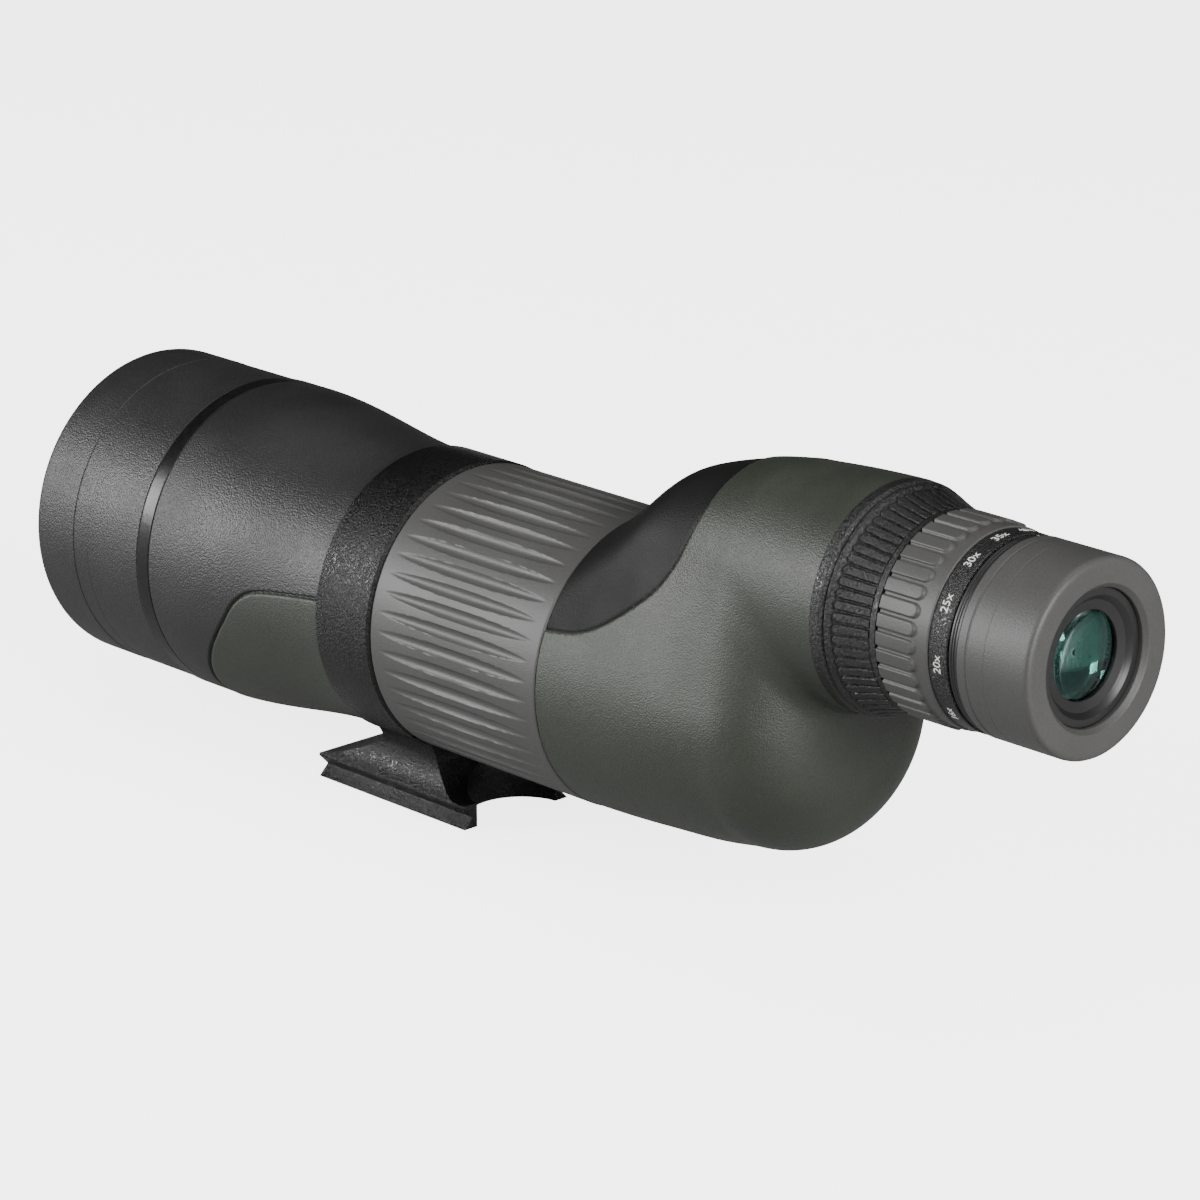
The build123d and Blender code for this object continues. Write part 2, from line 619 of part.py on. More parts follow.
with BuildPart() as main_tube:
    revolve(main_outline(tube(SEAT_REAR, GUIDE_FRONT, GUIDE_BORE, INNER_R)), axis=OPTICAL_AXIS)
    revolve(main_outline(tube(HOUSING_FRONT, SEAT_REAR, GUIDE_BORE, GUIDE_R)), axis=OPTICAL_AXIS)
    for angle in PIN_ANGLES:
        with BuildSketch(radial_plane(CARRIAGE_Y, AXIS_Z, angle)):
            SlotOverall(SLOT_LENGTH, 2 * (PIN_R + RUN))
        extrude(amount=COLLAR_R, mode=Mode.SUBTRACT)
    with BuildSketch(station(HOUSING_FRONT)):
        with Locations((0, AXIS_Z)):
            with PolarLocations((GUIDE_BORE + GUIDE_R) / 2, HOUSING_SCREWS):
                Circle(HOUSING_SCREW_R)
    extrude(amount=-HOUSING_SCREW_DEPTH, mode=Mode.SUBTRACT)
main_tube.part.label = "main_tube"
export_step(main_tube.part, "parts/main_tube.step")

with BuildPart() as light_baffles:
    for rear, opening in BAFFLES:
        revolve(main_outline(tube(rear, rear + BAFFLE_WALL, opening, GUIDE_BORE)), axis=OPTICAL_AXIS)
light_baffles.part.label = "light_baffles"
export_step(light_baffles.part, "parts/light_baffles.step")

CARRIAGE_REAR = CARRIAGE_Y - CARRIAGE_LENGTH / 2
CARRIAGE_FRONT = CARRIAGE_Y + CARRIAGE_LENGTH / 2
CARRIAGE_R = GUIDE_BORE - RUN
FOCUS_LENS_EDGE = 8.0

with BuildPart() as focus_lens_cell:
    revolve(
        main_outline(tube(CARRIAGE_REAR, CARRIAGE_FRONT, FOCUS_LENS_R - BEVEL, CARRIAGE_R)),
        axis=OPTICAL_AXIS,
    )
    revolve(
        main_outline(tube(CARRIAGE_FRONT - FOCUS_LENS_EDGE, CARRIAGE_FRONT, 0, FOCUS_LENS_R)),
        axis=OPTICAL_AXIS,
        mode=Mode.SUBTRACT,
    )
    for angle in PIN_ANGLES:
        with BuildSketch(radial_plane(CARRIAGE_Y, AXIS_Z, angle).offset(GUIDE_BORE - 3.0)):
            Circle(PIN_R)
        extrude(amount=3.0, mode=Mode.SUBTRACT)
focus_lens_cell.part.label = "focus_lens_cell"
export_step(focus_lens_cell.part, "parts/focus_lens_cell.step")

with BuildPart() as focus_lens:
    revolve(
        lens(AXIS_Z, CARRIAGE_FRONT - FOCUS_LENS_EDGE, CARRIAGE_FRONT, FOCUS_LENS_R, -2.4, -2.4),
        axis=OPTICAL_AXIS,
    )
focus_lens.part.label = "focus_lens"
export_step(focus_lens.part, "parts/focus_lens.step")

with BuildPart() as focus_pins:
    for angle in PIN_ANGLES:
        with BuildSketch(radial_plane(CARRIAGE_Y, AXIS_Z, angle).offset(GUIDE_BORE - 3.0)):
            Circle(PIN_R)
        extrude(amount=PIN_TIP - GUIDE_BORE + 3.0)
focus_pins.part.label = "focus_pins"
export_step(focus_pins.part, "parts/focus_pins.step")

# The cam is an annular relief: it gives the pins room over the whole travel.
CAM_HALF = CARRIAGE_TRAVEL + PIN_R + 2 * GAP

with BuildPart() as focus_ring_core:
    revolve(main_outline(tube(FOCUS_REAR, FOCUS_FRONT, GUIDE_R + RUN, CORE_R)), axis=OPTICAL_AXIS)
    revolve(
        main_outline(tube(CARRIAGE_Y - CAM_HALF, CARRIAGE_Y + CAM_HALF, 0, CAM_R)),
        axis=OPTICAL_AXIS,
        mode=Mode.SUBTRACT,
    )
focus_ring_core.part.label = "focus_ring_core"
export_step(focus_ring_core.part, "parts/focus_ring_core.step")

GROOVE_SPAN = FOCUS_LENGTH - 2 * GRIP_MARGIN
GROOVE_WIDTH = 2.2

with BuildPart() as focus_groove:
    with BuildSketch(Plane.XY.offset(AXIS_Z + GRIP_R - GRIP_GROOVE_DEPTH)):
        with Locations((0, (FOCUS_FRONT + FOCUS_REAR) / 2)):
            SlotOverall(GROOVE_SPAN, GROOVE_WIDTH, rotation=90)
    extrude(amount=2 * GRIP_GROOVE_DEPTH)

with BuildPart() as focus_ring_grip:
    revolve(main_outline(tube(FOCUS_REAR, FOCUS_FRONT, CORE_R, GRIP_R)), axis=OPTICAL_AXIS)
    for index in range(GRIP_GROOVES):
        turned = focus_groove.part.rotate(OPTICAL_AXIS, index * 360 / GRIP_GROOVES)
        add(turned, mode=Mode.SUBTRACT)
focus_ring_grip.part.label = "focus_ring_grip"
export_step(focus_ring_grip.part, "parts/focus_ring_grip.step")

# ================================================================ prism housing


def pear(y, low_r, low_z, top_r, top_z, inset):
    """A section of the housing: two circles joined by their outer tangents, all drawn in by inset."""
    low = low_r - inset
    top = top_r - inset
    lean = asin((low - top) / (top_z - low_z))
    low_x, low_y = low * cos(lean), low_z + low * sin(lean)
    top_x, top_y = top * cos(lean), top_z + top * sin(lean)
    with BuildSketch(station(y)) as section:
        with BuildLine():
            ThreePointArc((low_x, low_y), (0, low_z - low), (-low_x, low_y))
            Line((-low_x, low_y), (-top_x, top_y))
            ThreePointArc((-top_x, top_y), (0, top_z + top), (top_x, top_y))
            Line((top_x, top_y), (low_x, low_y))
        make_face()
    return section.sketch


def pod_sections(inset):
    """The housing's sections from front to rear, with its rear edge rounded off."""
    sections = [pear(*values, inset) for values in SECTIONS]
    last_y, *circles = SECTIONS[-1]
    radius = ROUNDING - inset
    for angle in ROUNDING_ANGLES:
        y = last_y - radius * sin(radians(angle))
        sections.append(pear(y, *circles, inset + radius * (1 - cos(radians(angle)))))
    return [section.face() for section in sections]


def neck_outline(inset):
    """The bell that carries the eyepiece, about the eyepiece axis."""
    (front, front_r), (middle, middle_r), (rear, rear_r) = NECK_PROFILE
    return eye_outline(
        [(front, 0), (front, front_r - inset), (middle, middle_r - inset), (rear, rear_r - inset), (rear, 0)]
    )


with BuildPart() as outer_form:
    loft(sections=pod_sections(0))
    revolve(neck_outline(0), axis=EYE_AXIS)

with BuildPart() as shell_form:
    loft(sections=pod_sections(SKIN))
    revolve(neck_outline(SKIN), axis=EYE_AXIS)

with BuildPart() as cavity_form:
    loft(sections=pod_sections(SKIN + SHELL))
    revolve(neck_outline(SKIN + SHELL), axis=EYE_AXIS)
    with BuildSketch(Plane.XZ.offset(-HOUSING_FRONT)):
        with Locations((0, AXIS_Z)):
            Circle(COLLAR_R)
    extrude(amount=FRONT_WALL, mode=Mode.SUBTRACT)

# The saddle's outline, seen from the side: everything above and in front of the seam.
with BuildSketch(Plane.YZ) as saddle_side:
    with BuildLine():
        seam = [(y, AXIS_Z + height) for y, height in SADDLE_POINTS]
        Spline(seam)
        Polyline(seam[-1], (HOUSING_FRONT + 1.0, seam[-1][1]), (HOUSING_FRONT + 1.0, seam[0][1]), seam[0])
    make_face()

with BuildPart() as housing_armour:
    add(outer_form.part)
    add(shell_form.part, mode=Mode.SUBTRACT)
    extrude(saddle_side.sketch, amount=COLLAR_R + 1.0, both=True, mode=Mode.SUBTRACT)
housing_armour.part.label = "housing_armour"
export_step(housing_armour.part, "parts/housing_armour.step")

with BuildPart() as saddle_inlay:
    add(outer_form.part)
    add(shell_form.part, mode=Mode.SUBTRACT)
    extrude(saddle_side.sketch, amount=COLLAR_R + 1.0, both=True, mode=Mode.INTERSECT)
saddle_inlay.part.label = "saddle_inlay"
export_step(saddle_inlay.part, "parts/saddle_inlay.step")

SCREW_CIRCLE = (GUIDE_BORE + GUIDE_R) / 2

with BuildPart() as housing_shell:
    add(shell_form.part)
    add(cavity_form.part, mode=Mode.SUBTRACT)
    with BuildSketch(station(CARRIER_FRONT + CARRIER_BOSS_LENGTH)):
        with Locations(*BOSS_POINTS):
            Circle(CARRIER_BOSS_R)
    extrude(amount=CARRIER_BOSS_LENGTH)
    add(shell_form.part, mode=Mode.INTERSECT)
    with BuildSketch(Plane.XZ.offset(-HOUSING_FRONT)):
        with Locations((0, AXIS_Z)):
            Circle(FRONT_HOLE_R)
            with PolarLocations(SCREW_CIRCLE, HOUSING_SCREWS):
                Circle(HOUSING_SCREW_R)
    extrude(amount=FRONT_WALL, mode=Mode.SUBTRACT)
    with BuildSketch(station(CARRIER_FRONT)):
        with Locations(*BOSS_POINTS):
            Circle(CARRIER_SCREW_R)
    extrude(amount=-CARRIER_BOSS_LENGTH / 2, mode=Mode.SUBTRACT)
    revolve(eye_outline(tube(NECK_REAR, SEAT_FRONT, 0, SEAT_SPIGOT_R)), axis=EYE_AXIS, mode=Mode.SUBTRACT)
    extrude(
        pear(CARRIER_FRONT, *SECTIONS[4][1:], SKIN + SHELL / 2), amount=CARRIER_WALL, mode=Mode.SUBTRACT
    )

with BuildPart() as housing_front:
    add(housing_shell.part)
    split(bisect_by=Plane.XZ.offset(-SPLIT_Y), keep=Keep.BOTTOM)
housing_front.part.label = "housing_front"
export_step(housing_front.part, "parts/housing_front.step")

with BuildPart() as housing_rear:
    add(housing_shell.part)
    split(bisect_by=Plane.XZ.offset(-SPLIT_Y), keep=Keep.TOP)
housing_rear.part.label = "housing_rear"
export_step(housing_rear.part, "parts/housing_rear.step")

with BuildPart() as housing_screws:
    with BuildSketch(Plane.XZ.offset(-HOUSING_FRONT - HOUSING_SCREW_DEPTH)):
        with Locations((0, AXIS_Z)):
            with PolarLocations(SCREW_CIRCLE, HOUSING_SCREWS):
                Circle(HOUSING_SCREW_R)
    extrude(amount=HOUSING_SCREW_DEPTH + FRONT_WALL)
    with BuildSketch(Plane.XZ.offset(-HOUSING_FRONT + FRONT_WALL)):
        with Locations((0, AXIS_Z)):
            with PolarLocations(SCREW_CIRCLE, HOUSING_SCREWS):
                Circle(HOUSING_HEAD_R)
    extrude(amount=HOUSING_HEAD)
housing_screws.part.label = "housing_screws"
export_step(housing_screws.part, "parts/housing_screws.step")

# ================================================================ prisms
MIDDLE_X = BEAM_SHIFT / 2
LOWER_Z = AXIS_Z + BEAM_SHIFT / 2
UPPER_Z = AXIS_Z + 3 * BEAM_SHIFT / 2
DIAGONAL = 2**-0.5
# Each plane lies across a prism: its x runs along the hypotenuse and its y runs away from the carrier.
LOWER_PLANE = Plane(
    origin=(MIDDLE_X, CARRIER_REAR, LOWER_Z), x_dir=(DIAGONAL, 0, DIAGONAL), z_dir=(DIAGONAL, 0, -DIAGONAL)
)
UPPER_PLANE = Plane(
    origin=(MIDDLE_X, CARRIER_FRONT, UPPER_Z), x_dir=(DIAGONAL, 0, -DIAGONAL), z_dir=(DIAGONAL, 0, DIAGONAL)
)


def prism_section(plane):
    """A right-angled triangle standing on its hypotenuse."""
    with BuildSketch(plane) as section:
        with BuildLine():
            Polyline((-PRISM_HALF, 0), (PRISM_HALF, 0), (0, PRISM_HALF), close=True)
        make_face()
    return section.sketch


def side_limit(front, rear):
    """A block that ends at the ground corners of the prisms."""
    with BuildSketch(Plane.XZ.offset(-front)) as limit:
        with Locations((0, EYE_Z - EYE_OFFSET / 2)):
            Rectangle(2 * PRISM_FLAT_X, 4 * COLLAR_R)
    return extrude(limit.sketch, amount=front - rear, mode=Mode.PRIVATE)


with BuildPart() as prism_lower:
    extrude(prism_section(LOWER_PLANE), amount=PRISM_HALF_WIDTH, both=True)
    add(side_limit(CARRIER_REAR, CARRIER_REAR - PRISM_HALF), mode=Mode.INTERSECT)
prism_lower.part.label = "prism_lower"
export_step(prism_lower.part, "parts/prism_lower.step")

with BuildPart() as prism_upper:
    extrude(prism_section(UPPER_PLANE), amount=PRISM_HALF_WIDTH, both=True)
    add(side_limit(CARRIER_FRONT + PRISM_HALF, CARRIER_FRONT), mode=Mode.INTERSECT)
prism_upper.part.label = "prism_upper"
export_step(prism_upper.part, "parts/prism_upper.step")

CLAMP_SCREW_OUT = PRISM_HALF_WIDTH + CLAMP_WALL + CLAMP_FOOT / 2


def clamp_section(plane):
    """A strap over the prism's ridge, seen along the hypotenuse, with a foot on each side."""
    across = Plane(origin=plane.origin, x_dir=plane.z_dir, z_dir=plane.x_dir * -1)
    inner = PRISM_HALF_WIDTH
    outer = inner + CLAMP_WALL
    foot = outer + CLAMP_FOOT
    top = PRISM_HALF
    with BuildSketch(across) as section:
        with BuildLine():
            Polyline(
                (-foot, 0),
                (-inner, 0),
                (-inner, top),
                (inner, top),
                (inner, 0),
                (foot, 0),
                (foot, CLAMP_WALL),
                (outer, CLAMP_WALL),
                (outer, top + CLAMP_WALL),
                (-outer, top + CLAMP_WALL),
                (-outer, CLAMP_WALL),
                (-foot, CLAMP_WALL),
                close=True,
            )
        make_face()
    return section.sketch


def clamp_screw_planes(plane):
    """Where each clamp screw stands: on the carrier, its z pointing away from it."""
    for side in (-1, 1):
        spot = plane.origin + plane.z_dir * (side * CLAMP_SCREW_OUT)
        yield Plane(origin=spot, x_dir=plane.x_dir, z_dir=plane.y_dir)


with BuildPart() as prism_clamps:
    for plane in (LOWER_PLANE, UPPER_PLANE):
        extrude(clamp_section(plane), amount=CLAMP_HALF_WIDTH, both=True)
        for spot in clamp_screw_planes(plane):
            with BuildSketch(spot):
                Circle(CLAMP_SCREW_R)
            extrude(amount=CLAMP_WALL, mode=Mode.SUBTRACT)
prism_clamps.part.label = "prism_clamps"
export_step(prism_clamps.part, "parts/prism_clamps.step")

with BuildPart() as prism_clamp_screws:
    for plane in (LOWER_PLANE, UPPER_PLANE):
        for spot in clamp_screw_planes(plane):
            with BuildSketch(spot.offset(-CLAMP_THREAD)):
                Circle(CLAMP_SCREW_R)
            extrude(amount=CLAMP_THREAD + CLAMP_WALL)
            with BuildSketch(spot.offset(CLAMP_WALL)):
                Circle(CLAMP_HEAD_R)
            extrude(amount=CLAMP_HEAD)
prism_clamp_screws.part.label = "prism_clamp_screws"
export_step(prism_clamp_screws.part, "parts/prism_clamp_screws.step")

with BuildPart() as prism_carrier:
    extrude(pear(CARRIER_FRONT, *SECTIONS[4][1:], SKIN + SHELL / 2), amount=CARRIER_WALL)
    with BuildSketch(station(CARRIER_FRONT)):
        with Locations((0, AXIS_Z), (0, EYE_Z)):
            Circle(BEAM_R)
        with Locations((BEAM_SHIFT, AXIS_Z + BEAM_SHIFT)):
            Circle(CROSS_BEAM_R)
        with Locations(*BOSS_POINTS):
            Circle(CARRIER_SCREW_R)
    extrude(amount=CARRIER_WALL, mode=Mode.SUBTRACT)
    for plane in (LOWER_PLANE, UPPER_PLANE):
        for spot in clamp_screw_planes(plane):
            with BuildSketch(spot):
                Circle(CLAMP_SCREW_R)
            extrude(amount=-CLAMP_THREAD, mode=Mode.SUBTRACT)
prism_carrier.part.label = "prism_carrier"
export_step(prism_carrier.part, "parts/prism_carrier.step")

with BuildPart() as carrier_screws:
    with BuildSketch(station(CARRIER_REAR)):
        with Locations(*BOSS_POINTS):
            Circle(CARRIER_SCREW_R)
    extrude(amount=-CARRIER_WALL - CARRIER_BOSS_LENGTH / 2)
    with BuildSketch(station(CARRIER_REAR)):
        with Locations(*BOSS_POINTS):
            Circle(CARRIER_HEAD_R)
    extrude(amount=CARRIER_HEAD)
carrier_screws.part.label = "carrier_screws"
export_step(carrier_screws.part, "parts/carrier_screws.step")

# ================================================================ eyepiece
with BuildPart() as eyepiece_seat:
    revolve(eye_outline(tube(NECK_REAR, SEAT_FRONT, SPIGOT_R, SEAT_SPIGOT_R)), axis=EYE_AXIS)
    revolve(eye_outline(tube(SEAT_END, NECK_REAR, SPIGOT_R, NECK_R)), axis=EYE_AXIS)
    chamfer(eyepiece_seat.edges().group_by(Axis.Y)[0].sort_by(SortBy.RADIUS)[-1], length=0.5)
eyepiece_seat.part.label = "eyepiece_seat"
export_step(eyepiece_seat.part, "parts/eyepiece_seat.step")

with BuildPart() as eyepiece_lock_ring:
    with BuildSketch(Plane.YZ):
        with BuildLine():
            inner_z = EYE_Z + EYE_TUBE_R + RUN
            middle_r = (LOCK_FRONT_R + LOCK_REAR_R) / 2 - 0.3
            Polyline(
                (LOCK_REAR, EYE_Z + LOCK_REAR_R),
                (LOCK_REAR, inner_z),
                (LOCK_FRONT, inner_z),
                (LOCK_FRONT, EYE_Z + LOCK_FRONT_R),
            )
            ThreePointArc(
                (LOCK_FRONT, EYE_Z + LOCK_FRONT_R),
                ((LOCK_FRONT + LOCK_REAR) / 2, EYE_Z + middle_r),
                (LOCK_REAR, EYE_Z + LOCK_REAR_R),
            )
        make_face()
    revolve(axis=EYE_AXIS)
eyepiece_lock_ring.part.label = "eyepiece_lock_ring"
export_step(eyepiece_lock_ring.part, "parts/eyepiece_lock_ring.step")

ZOOM_BORE_FRONT = ZOOM_FRONT - 0.2
TAIL_BORE_FRONT = EYE_CELL_FRONT - 2.0


def zoom_slot(centre, forward, back):
    """The y of a zoom slot's centre, and its length, for a group that moves forward and back."""
    reach = ZOOM_PIN_R + GAP
    return centre + (forward - back) / 2, forward + back + 2 * reach


FRONT_SLOT = zoom_slot(FRONT_GROUP_Y, FRONT_GROUP_FORWARD, FRONT_GROUP_BACK)
REAR_SLOT = zoom_slot(REAR_GROUP_Y, REAR_GROUP_FORWARD, REAR_GROUP_BACK)
FRONT_PIN_ANGLES = (90, 270)
REAR_PIN_ANGLES = (0, 180)

with BuildPart() as eyepiece_tube:
    with BuildSketch(Plane.YZ):
        with BuildLine():
            corners = [
                (SPIGOT_FRONT, FIELD_BORE),
                (SPIGOT_FRONT, SPIGOT_R),
                (LOCK_FRONT, SPIGOT_R),
                (LOCK_FRONT, EYE_TUBE_R),
                (SHOULDER_FRONT, EYE_TUBE_R),
                (SHOULDER_FRONT, SHOULDER_R),
                (SHOULDER_REAR, SHOULDER_R),
                (SHOULDER_REAR, EYE_TUBE_R),
                (INDEX_REAR, EYE_TUBE_R),
                (INDEX_REAR, TAIL_R),
                (TAIL_REAR, TAIL_R),
                (TAIL_REAR, TAIL_BORE),
                (TAIL_BORE_FRONT, TAIL_BORE),
                (TAIL_BORE_FRONT, ZOOM_BORE),
                (ZOOM_BORE_FRONT, ZOOM_BORE),
                (ZOOM_BORE_FRONT, FIELD_BORE),
            ]
            Polyline([(y, EYE_Z + r) for y, r in corners], close=True)
        make_face()
    revolve(axis=EYE_AXIS)
    for (centre, length), angles in ((FRONT_SLOT, FRONT_PIN_ANGLES), (REAR_SLOT, REAR_PIN_ANGLES)):
        for angle in angles:
            with BuildSketch(radial_plane(centre, EYE_Z, angle)):
                SlotOverall(length, 2 * (ZOOM_PIN_R + RUN))
            extrude(amount=ZOOM_CORE_R, mode=Mode.SUBTRACT)
eyepiece_tube.part.label = "eyepiece_tube"
export_step(eyepiece_tube.part, "parts/eyepiece_tube.step")

with BuildPart() as field_stop:
    revolve(eye_outline(tube(FIELD_STOP_Y - 1.0, FIELD_STOP_Y, 10.0, FIELD_BORE)), axis=EYE_AXIS)
field_stop.part.label = "field_stop"
export_step(field_stop.part, "parts/field_stop.step")

with BuildPart() as field_lens:
    revolve(lens(EYE_Z, FIELD_LENS_Y - FIELD_LENS_EDGE, FIELD_LENS_Y, FIELD_BORE, 1.0, 1.0), axis=EYE_AXIS)
field_lens.part.label = "field_lens"
export_step(field_lens.part, "parts/field_lens.step")

# The zoom cams are one annular relief under the ring, with room for all four pins.
CAM_FRONT = FRONT_SLOT[0] + FRONT_SLOT[1] / 2
CAM_REAR = REAR_SLOT[0] - REAR_SLOT[1] / 2

with BuildPart() as zoom_ring_core:
    revolve(eye_outline(tube(ZOOM_REAR, ZOOM_FRONT, EYE_TUBE_R + RUN, ZOOM_CORE_R)), axis=EYE_AXIS)
    revolve(eye_outline(tube(CAM_REAR, CAM_FRONT, 0, ZOOM_CAM_R)), axis=EYE_AXIS, mode=Mode.SUBTRACT)
zoom_ring_core.part.label = "zoom_ring_core"
export_step(zoom_ring_core.part, "parts/zoom_ring_core.step")

with BuildPart() as zoom_ring_grip:
    revolve(eye_outline(tube(ZOOM_GRIP_REAR, ZOOM_FRONT, ZOOM_CORE_R, ZOOM_GRIP_R)), axis=EYE_AXIS)
zoom_ring_grip.part.label = "zoom_ring_grip"
export_step(zoom_ring_grip.part, "parts/zoom_ring_grip.step")

with BuildPart() as zoom_scale_band:
    revolve(eye_outline(tube(ZOOM_REAR, ZOOM_GRIP_REAR, ZOOM_CORE_R, SCALE_R)), axis=EYE_AXIS)
zoom_scale_band.part.label = "zoom_scale_band"
export_step(zoom_scale_band.part, "parts/zoom_scale_band.step")


def zoom_cell(centre, angles):
    """A sliding lens cell with its two cam pins, to be added to the active part."""
    rear = centre - ZOOM_CELL_LENGTH / 2
    front = centre + ZOOM_CELL_LENGTH / 2
    ring = revolve(
        eye_outline(tube(rear, front, ZOOM_LENS_R, ZOOM_BORE - RUN)), axis=EYE_AXIS, mode=Mode.PRIVATE
    )
    for angle in angles:
        with BuildSketch(radial_plane(centre, EYE_Z, angle).offset(ZOOM_BORE - 2.0)) as pin:
            Circle(ZOOM_PIN_R)
        ring += extrude(pin.sketch, amount=ZOOM_PIN_TIP - ZOOM_BORE + 2.0, mode=Mode.PRIVATE)
    return ring


with BuildPart() as zoom_front_cell:
    add(zoom_cell(FRONT_GROUP_Y, FRONT_PIN_ANGLES))
zoom_front_cell.part.label = "zoom_front_cell"
export_step(zoom_front_cell.part, "parts/zoom_front_cell.step")

with BuildPart() as zoom_front_lens:
    revolve(lens(EYE_Z, FRONT_GROUP_Y - 2.0, FRONT_GROUP_Y + 2.0, ZOOM_LENS_R, 0.8, 0.8), axis=EYE_AXIS)
zoom_front_lens.part.label = "zoom_front_lens"
export_step(zoom_front_lens.part, "parts/zoom_front_lens.step")

with BuildPart() as zoom_rear_cell:
    add(zoom_cell(REAR_GROUP_Y, REAR_PIN_ANGLES))
zoom_rear_cell.part.label = "zoom_rear_cell"
export_step(zoom_rear_cell.part, "parts/zoom_rear_cell.step")

with BuildPart() as zoom_rear_lens:
    revolve(lens(EYE_Z, REAR_GROUP_Y - 2.0, REAR_GROUP_Y + 2.0, ZOOM_LENS_R, -0.8, -0.8), axis=EYE_AXIS)
zoom_rear_lens.part.label = "zoom_rear_lens"
export_step(zoom_rear_lens.part, "parts/zoom_rear_lens.step")

with BuildPart() as zoom_index_ring:
    revolve(eye_outline(tube(INDEX_REAR, INDEX_FRONT, EYE_TUBE_R, INDEX_R)), axis=EYE_AXIS)
zoom_index_ring.part.label = "zoom_index_ring"
export_step(zoom_index_ring.part, "parts/zoom_index_ring.step")

# ================================================================ eye lens
EYE_SEAT = EYE_FACE + EYE_LIP
EYE_LENS_EDGE = 5.3
INNER_LENS_EDGE = 6.0
EYE_SPACER = 2.0
EYE_RETAINER = 2.5
SPACER_REAR = EYE_SEAT + EYE_LENS_EDGE
INNER_LENS_REAR = SPACER_REAR + EYE_SPACER
RETAINER_REAR = INNER_LENS_REAR + INNER_LENS_EDGE

with BuildPart() as eye_lens_cell:
    with BuildSketch(Plane.YZ):
        with BuildLine():
            corners = [
                (EYE_CELL_FRONT, EYE_LENS_R),
                (EYE_CELL_FRONT, TAIL_BORE),
                (EYE_CELL_REAR, TAIL_BORE),
                (EYE_CELL_REAR, 15.4),
                (EYE_CELL_REAR + 0.7, 14.6),
                (EYE_FACE - 0.5, 14.0),
                (EYE_FACE, EYE_APERTURE_R),
                (EYE_SEAT, EYE_APERTURE_R),
                (EYE_SEAT, EYE_LENS_R),
            ]
            Polyline([(y, EYE_Z + r) for y, r in corners], close=True)
        make_face()
    revolve(axis=EYE_AXIS)
eye_lens_cell.part.label = "eye_lens_cell"
export_step(eye_lens_cell.part, "parts/eye_lens_cell.step")

with BuildPart() as eye_lens:
    revolve(lens(EYE_Z, EYE_SEAT, SPACER_REAR, EYE_LENS_R, 1.9, 1.0), axis=EYE_AXIS)
    revolve(
        eye_outline(tube(EYE_SEAT - 3.0, EYE_SEAT, EYE_APERTURE_R - RUN, EYE_LENS_R)),
        axis=EYE_AXIS,
        mode=Mode.SUBTRACT,
    )
eye_lens.part.label = "eye_lens"
export_step(eye_lens.part, "parts/eye_lens.step")

with BuildPart() as eye_lens_spacer:
    revolve(eye_outline(tube(SPACER_REAR, INNER_LENS_REAR, EYE_LENS_R - BEVEL, EYE_LENS_R)), axis=EYE_AXIS)
eye_lens_spacer.part.label = "eye_lens_spacer"
export_step(eye_lens_spacer.part, "parts/eye_lens_spacer.step")

with BuildPart() as eye_lens_inner:
    revolve(lens(EYE_Z, INNER_LENS_REAR, RETAINER_REAR, EYE_LENS_R, -0.4, 1.2), axis=EYE_AXIS)
eye_lens_inner.part.label = "eye_lens_inner"
export_step(eye_lens_inner.part, "parts/eye_lens_inner.step")

with BuildPart() as eye_lens_retainer:
    revolve(
        eye_outline(tube(RETAINER_REAR, RETAINER_REAR + EYE_RETAINER, EYE_LENS_R - BEVEL, EYE_LENS_R)),
        axis=EYE_AXIS,
    )
eye_lens_retainer.part.label = "eye_lens_retainer"
export_step(eye_lens_retainer.part, "parts/eye_lens_retainer.step")

# ================================================================ eyecup
GUIDE_RING_R = TAIL_R + RUN + GUIDE_RING_WALL

with BuildPart() as eyecup_guide_ring:
    revolve(
        eye_outline(
            tube(GUIDE_RING_REAR, GUIDE_RING_REAR + GUIDE_RING_LENGTH, TAIL_R + RUN, GUIDE_RING_R)
        ),
        axis=EYE_AXIS,
    )
eyecup_guide_ring.part.label = "eyecup_guide_ring"
export_step(eyecup_guide_ring.part, "parts/eyecup_guide_ring.step")

with BuildPart() as eyecup_core:
    revolve(
        eye_outline(tube(CUP_LIP_FRONT, CUP_FRONT, GUIDE_RING_R + RUN, CUP_CORE_R)), axis=EYE_AXIS
    )
eyecup_core.part.label = "eyecup_core"
export_step(eyecup_core.part, "parts/eyecup_core.step")

with BuildPart() as eyecup_rubber:
    revolve(eye_outline(tube(CUP_REAR, CUP_FRONT, CUP_CORE_R, CUP_R)), axis=EYE_AXIS)
    revolve(eye_outline(tube(CUP_REAR, CUP_LIP_FRONT, CUP_HOLE_R, CUP_R)), axis=EYE_AXIS)
    fillet(eyecup_rubber.edges().group_by(Axis.Y)[0].sort_by(SortBy.RADIUS)[-1], radius=1.3)
    fillet(eyecup_rubber.edges().group_by(Axis.Y)[0].sort_by(SortBy.RADIUS)[0], radius=1.2)
eyecup_rubber.part.label = "eyecup_rubber"
export_step(eyecup_rubber.part, "parts/eyecup_rubber.step")
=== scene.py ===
# %% [markdown]
# # A spotting scope, finished for the camera
# The frame comes from the CAD model: every solid is already in its place, in metres.
# Here the solids get their surfaces. Rubber is moulded with grain, ribs and seams, metal is cast or
# anodised, and glass is coated.

# %% Load the frame
import json
import math

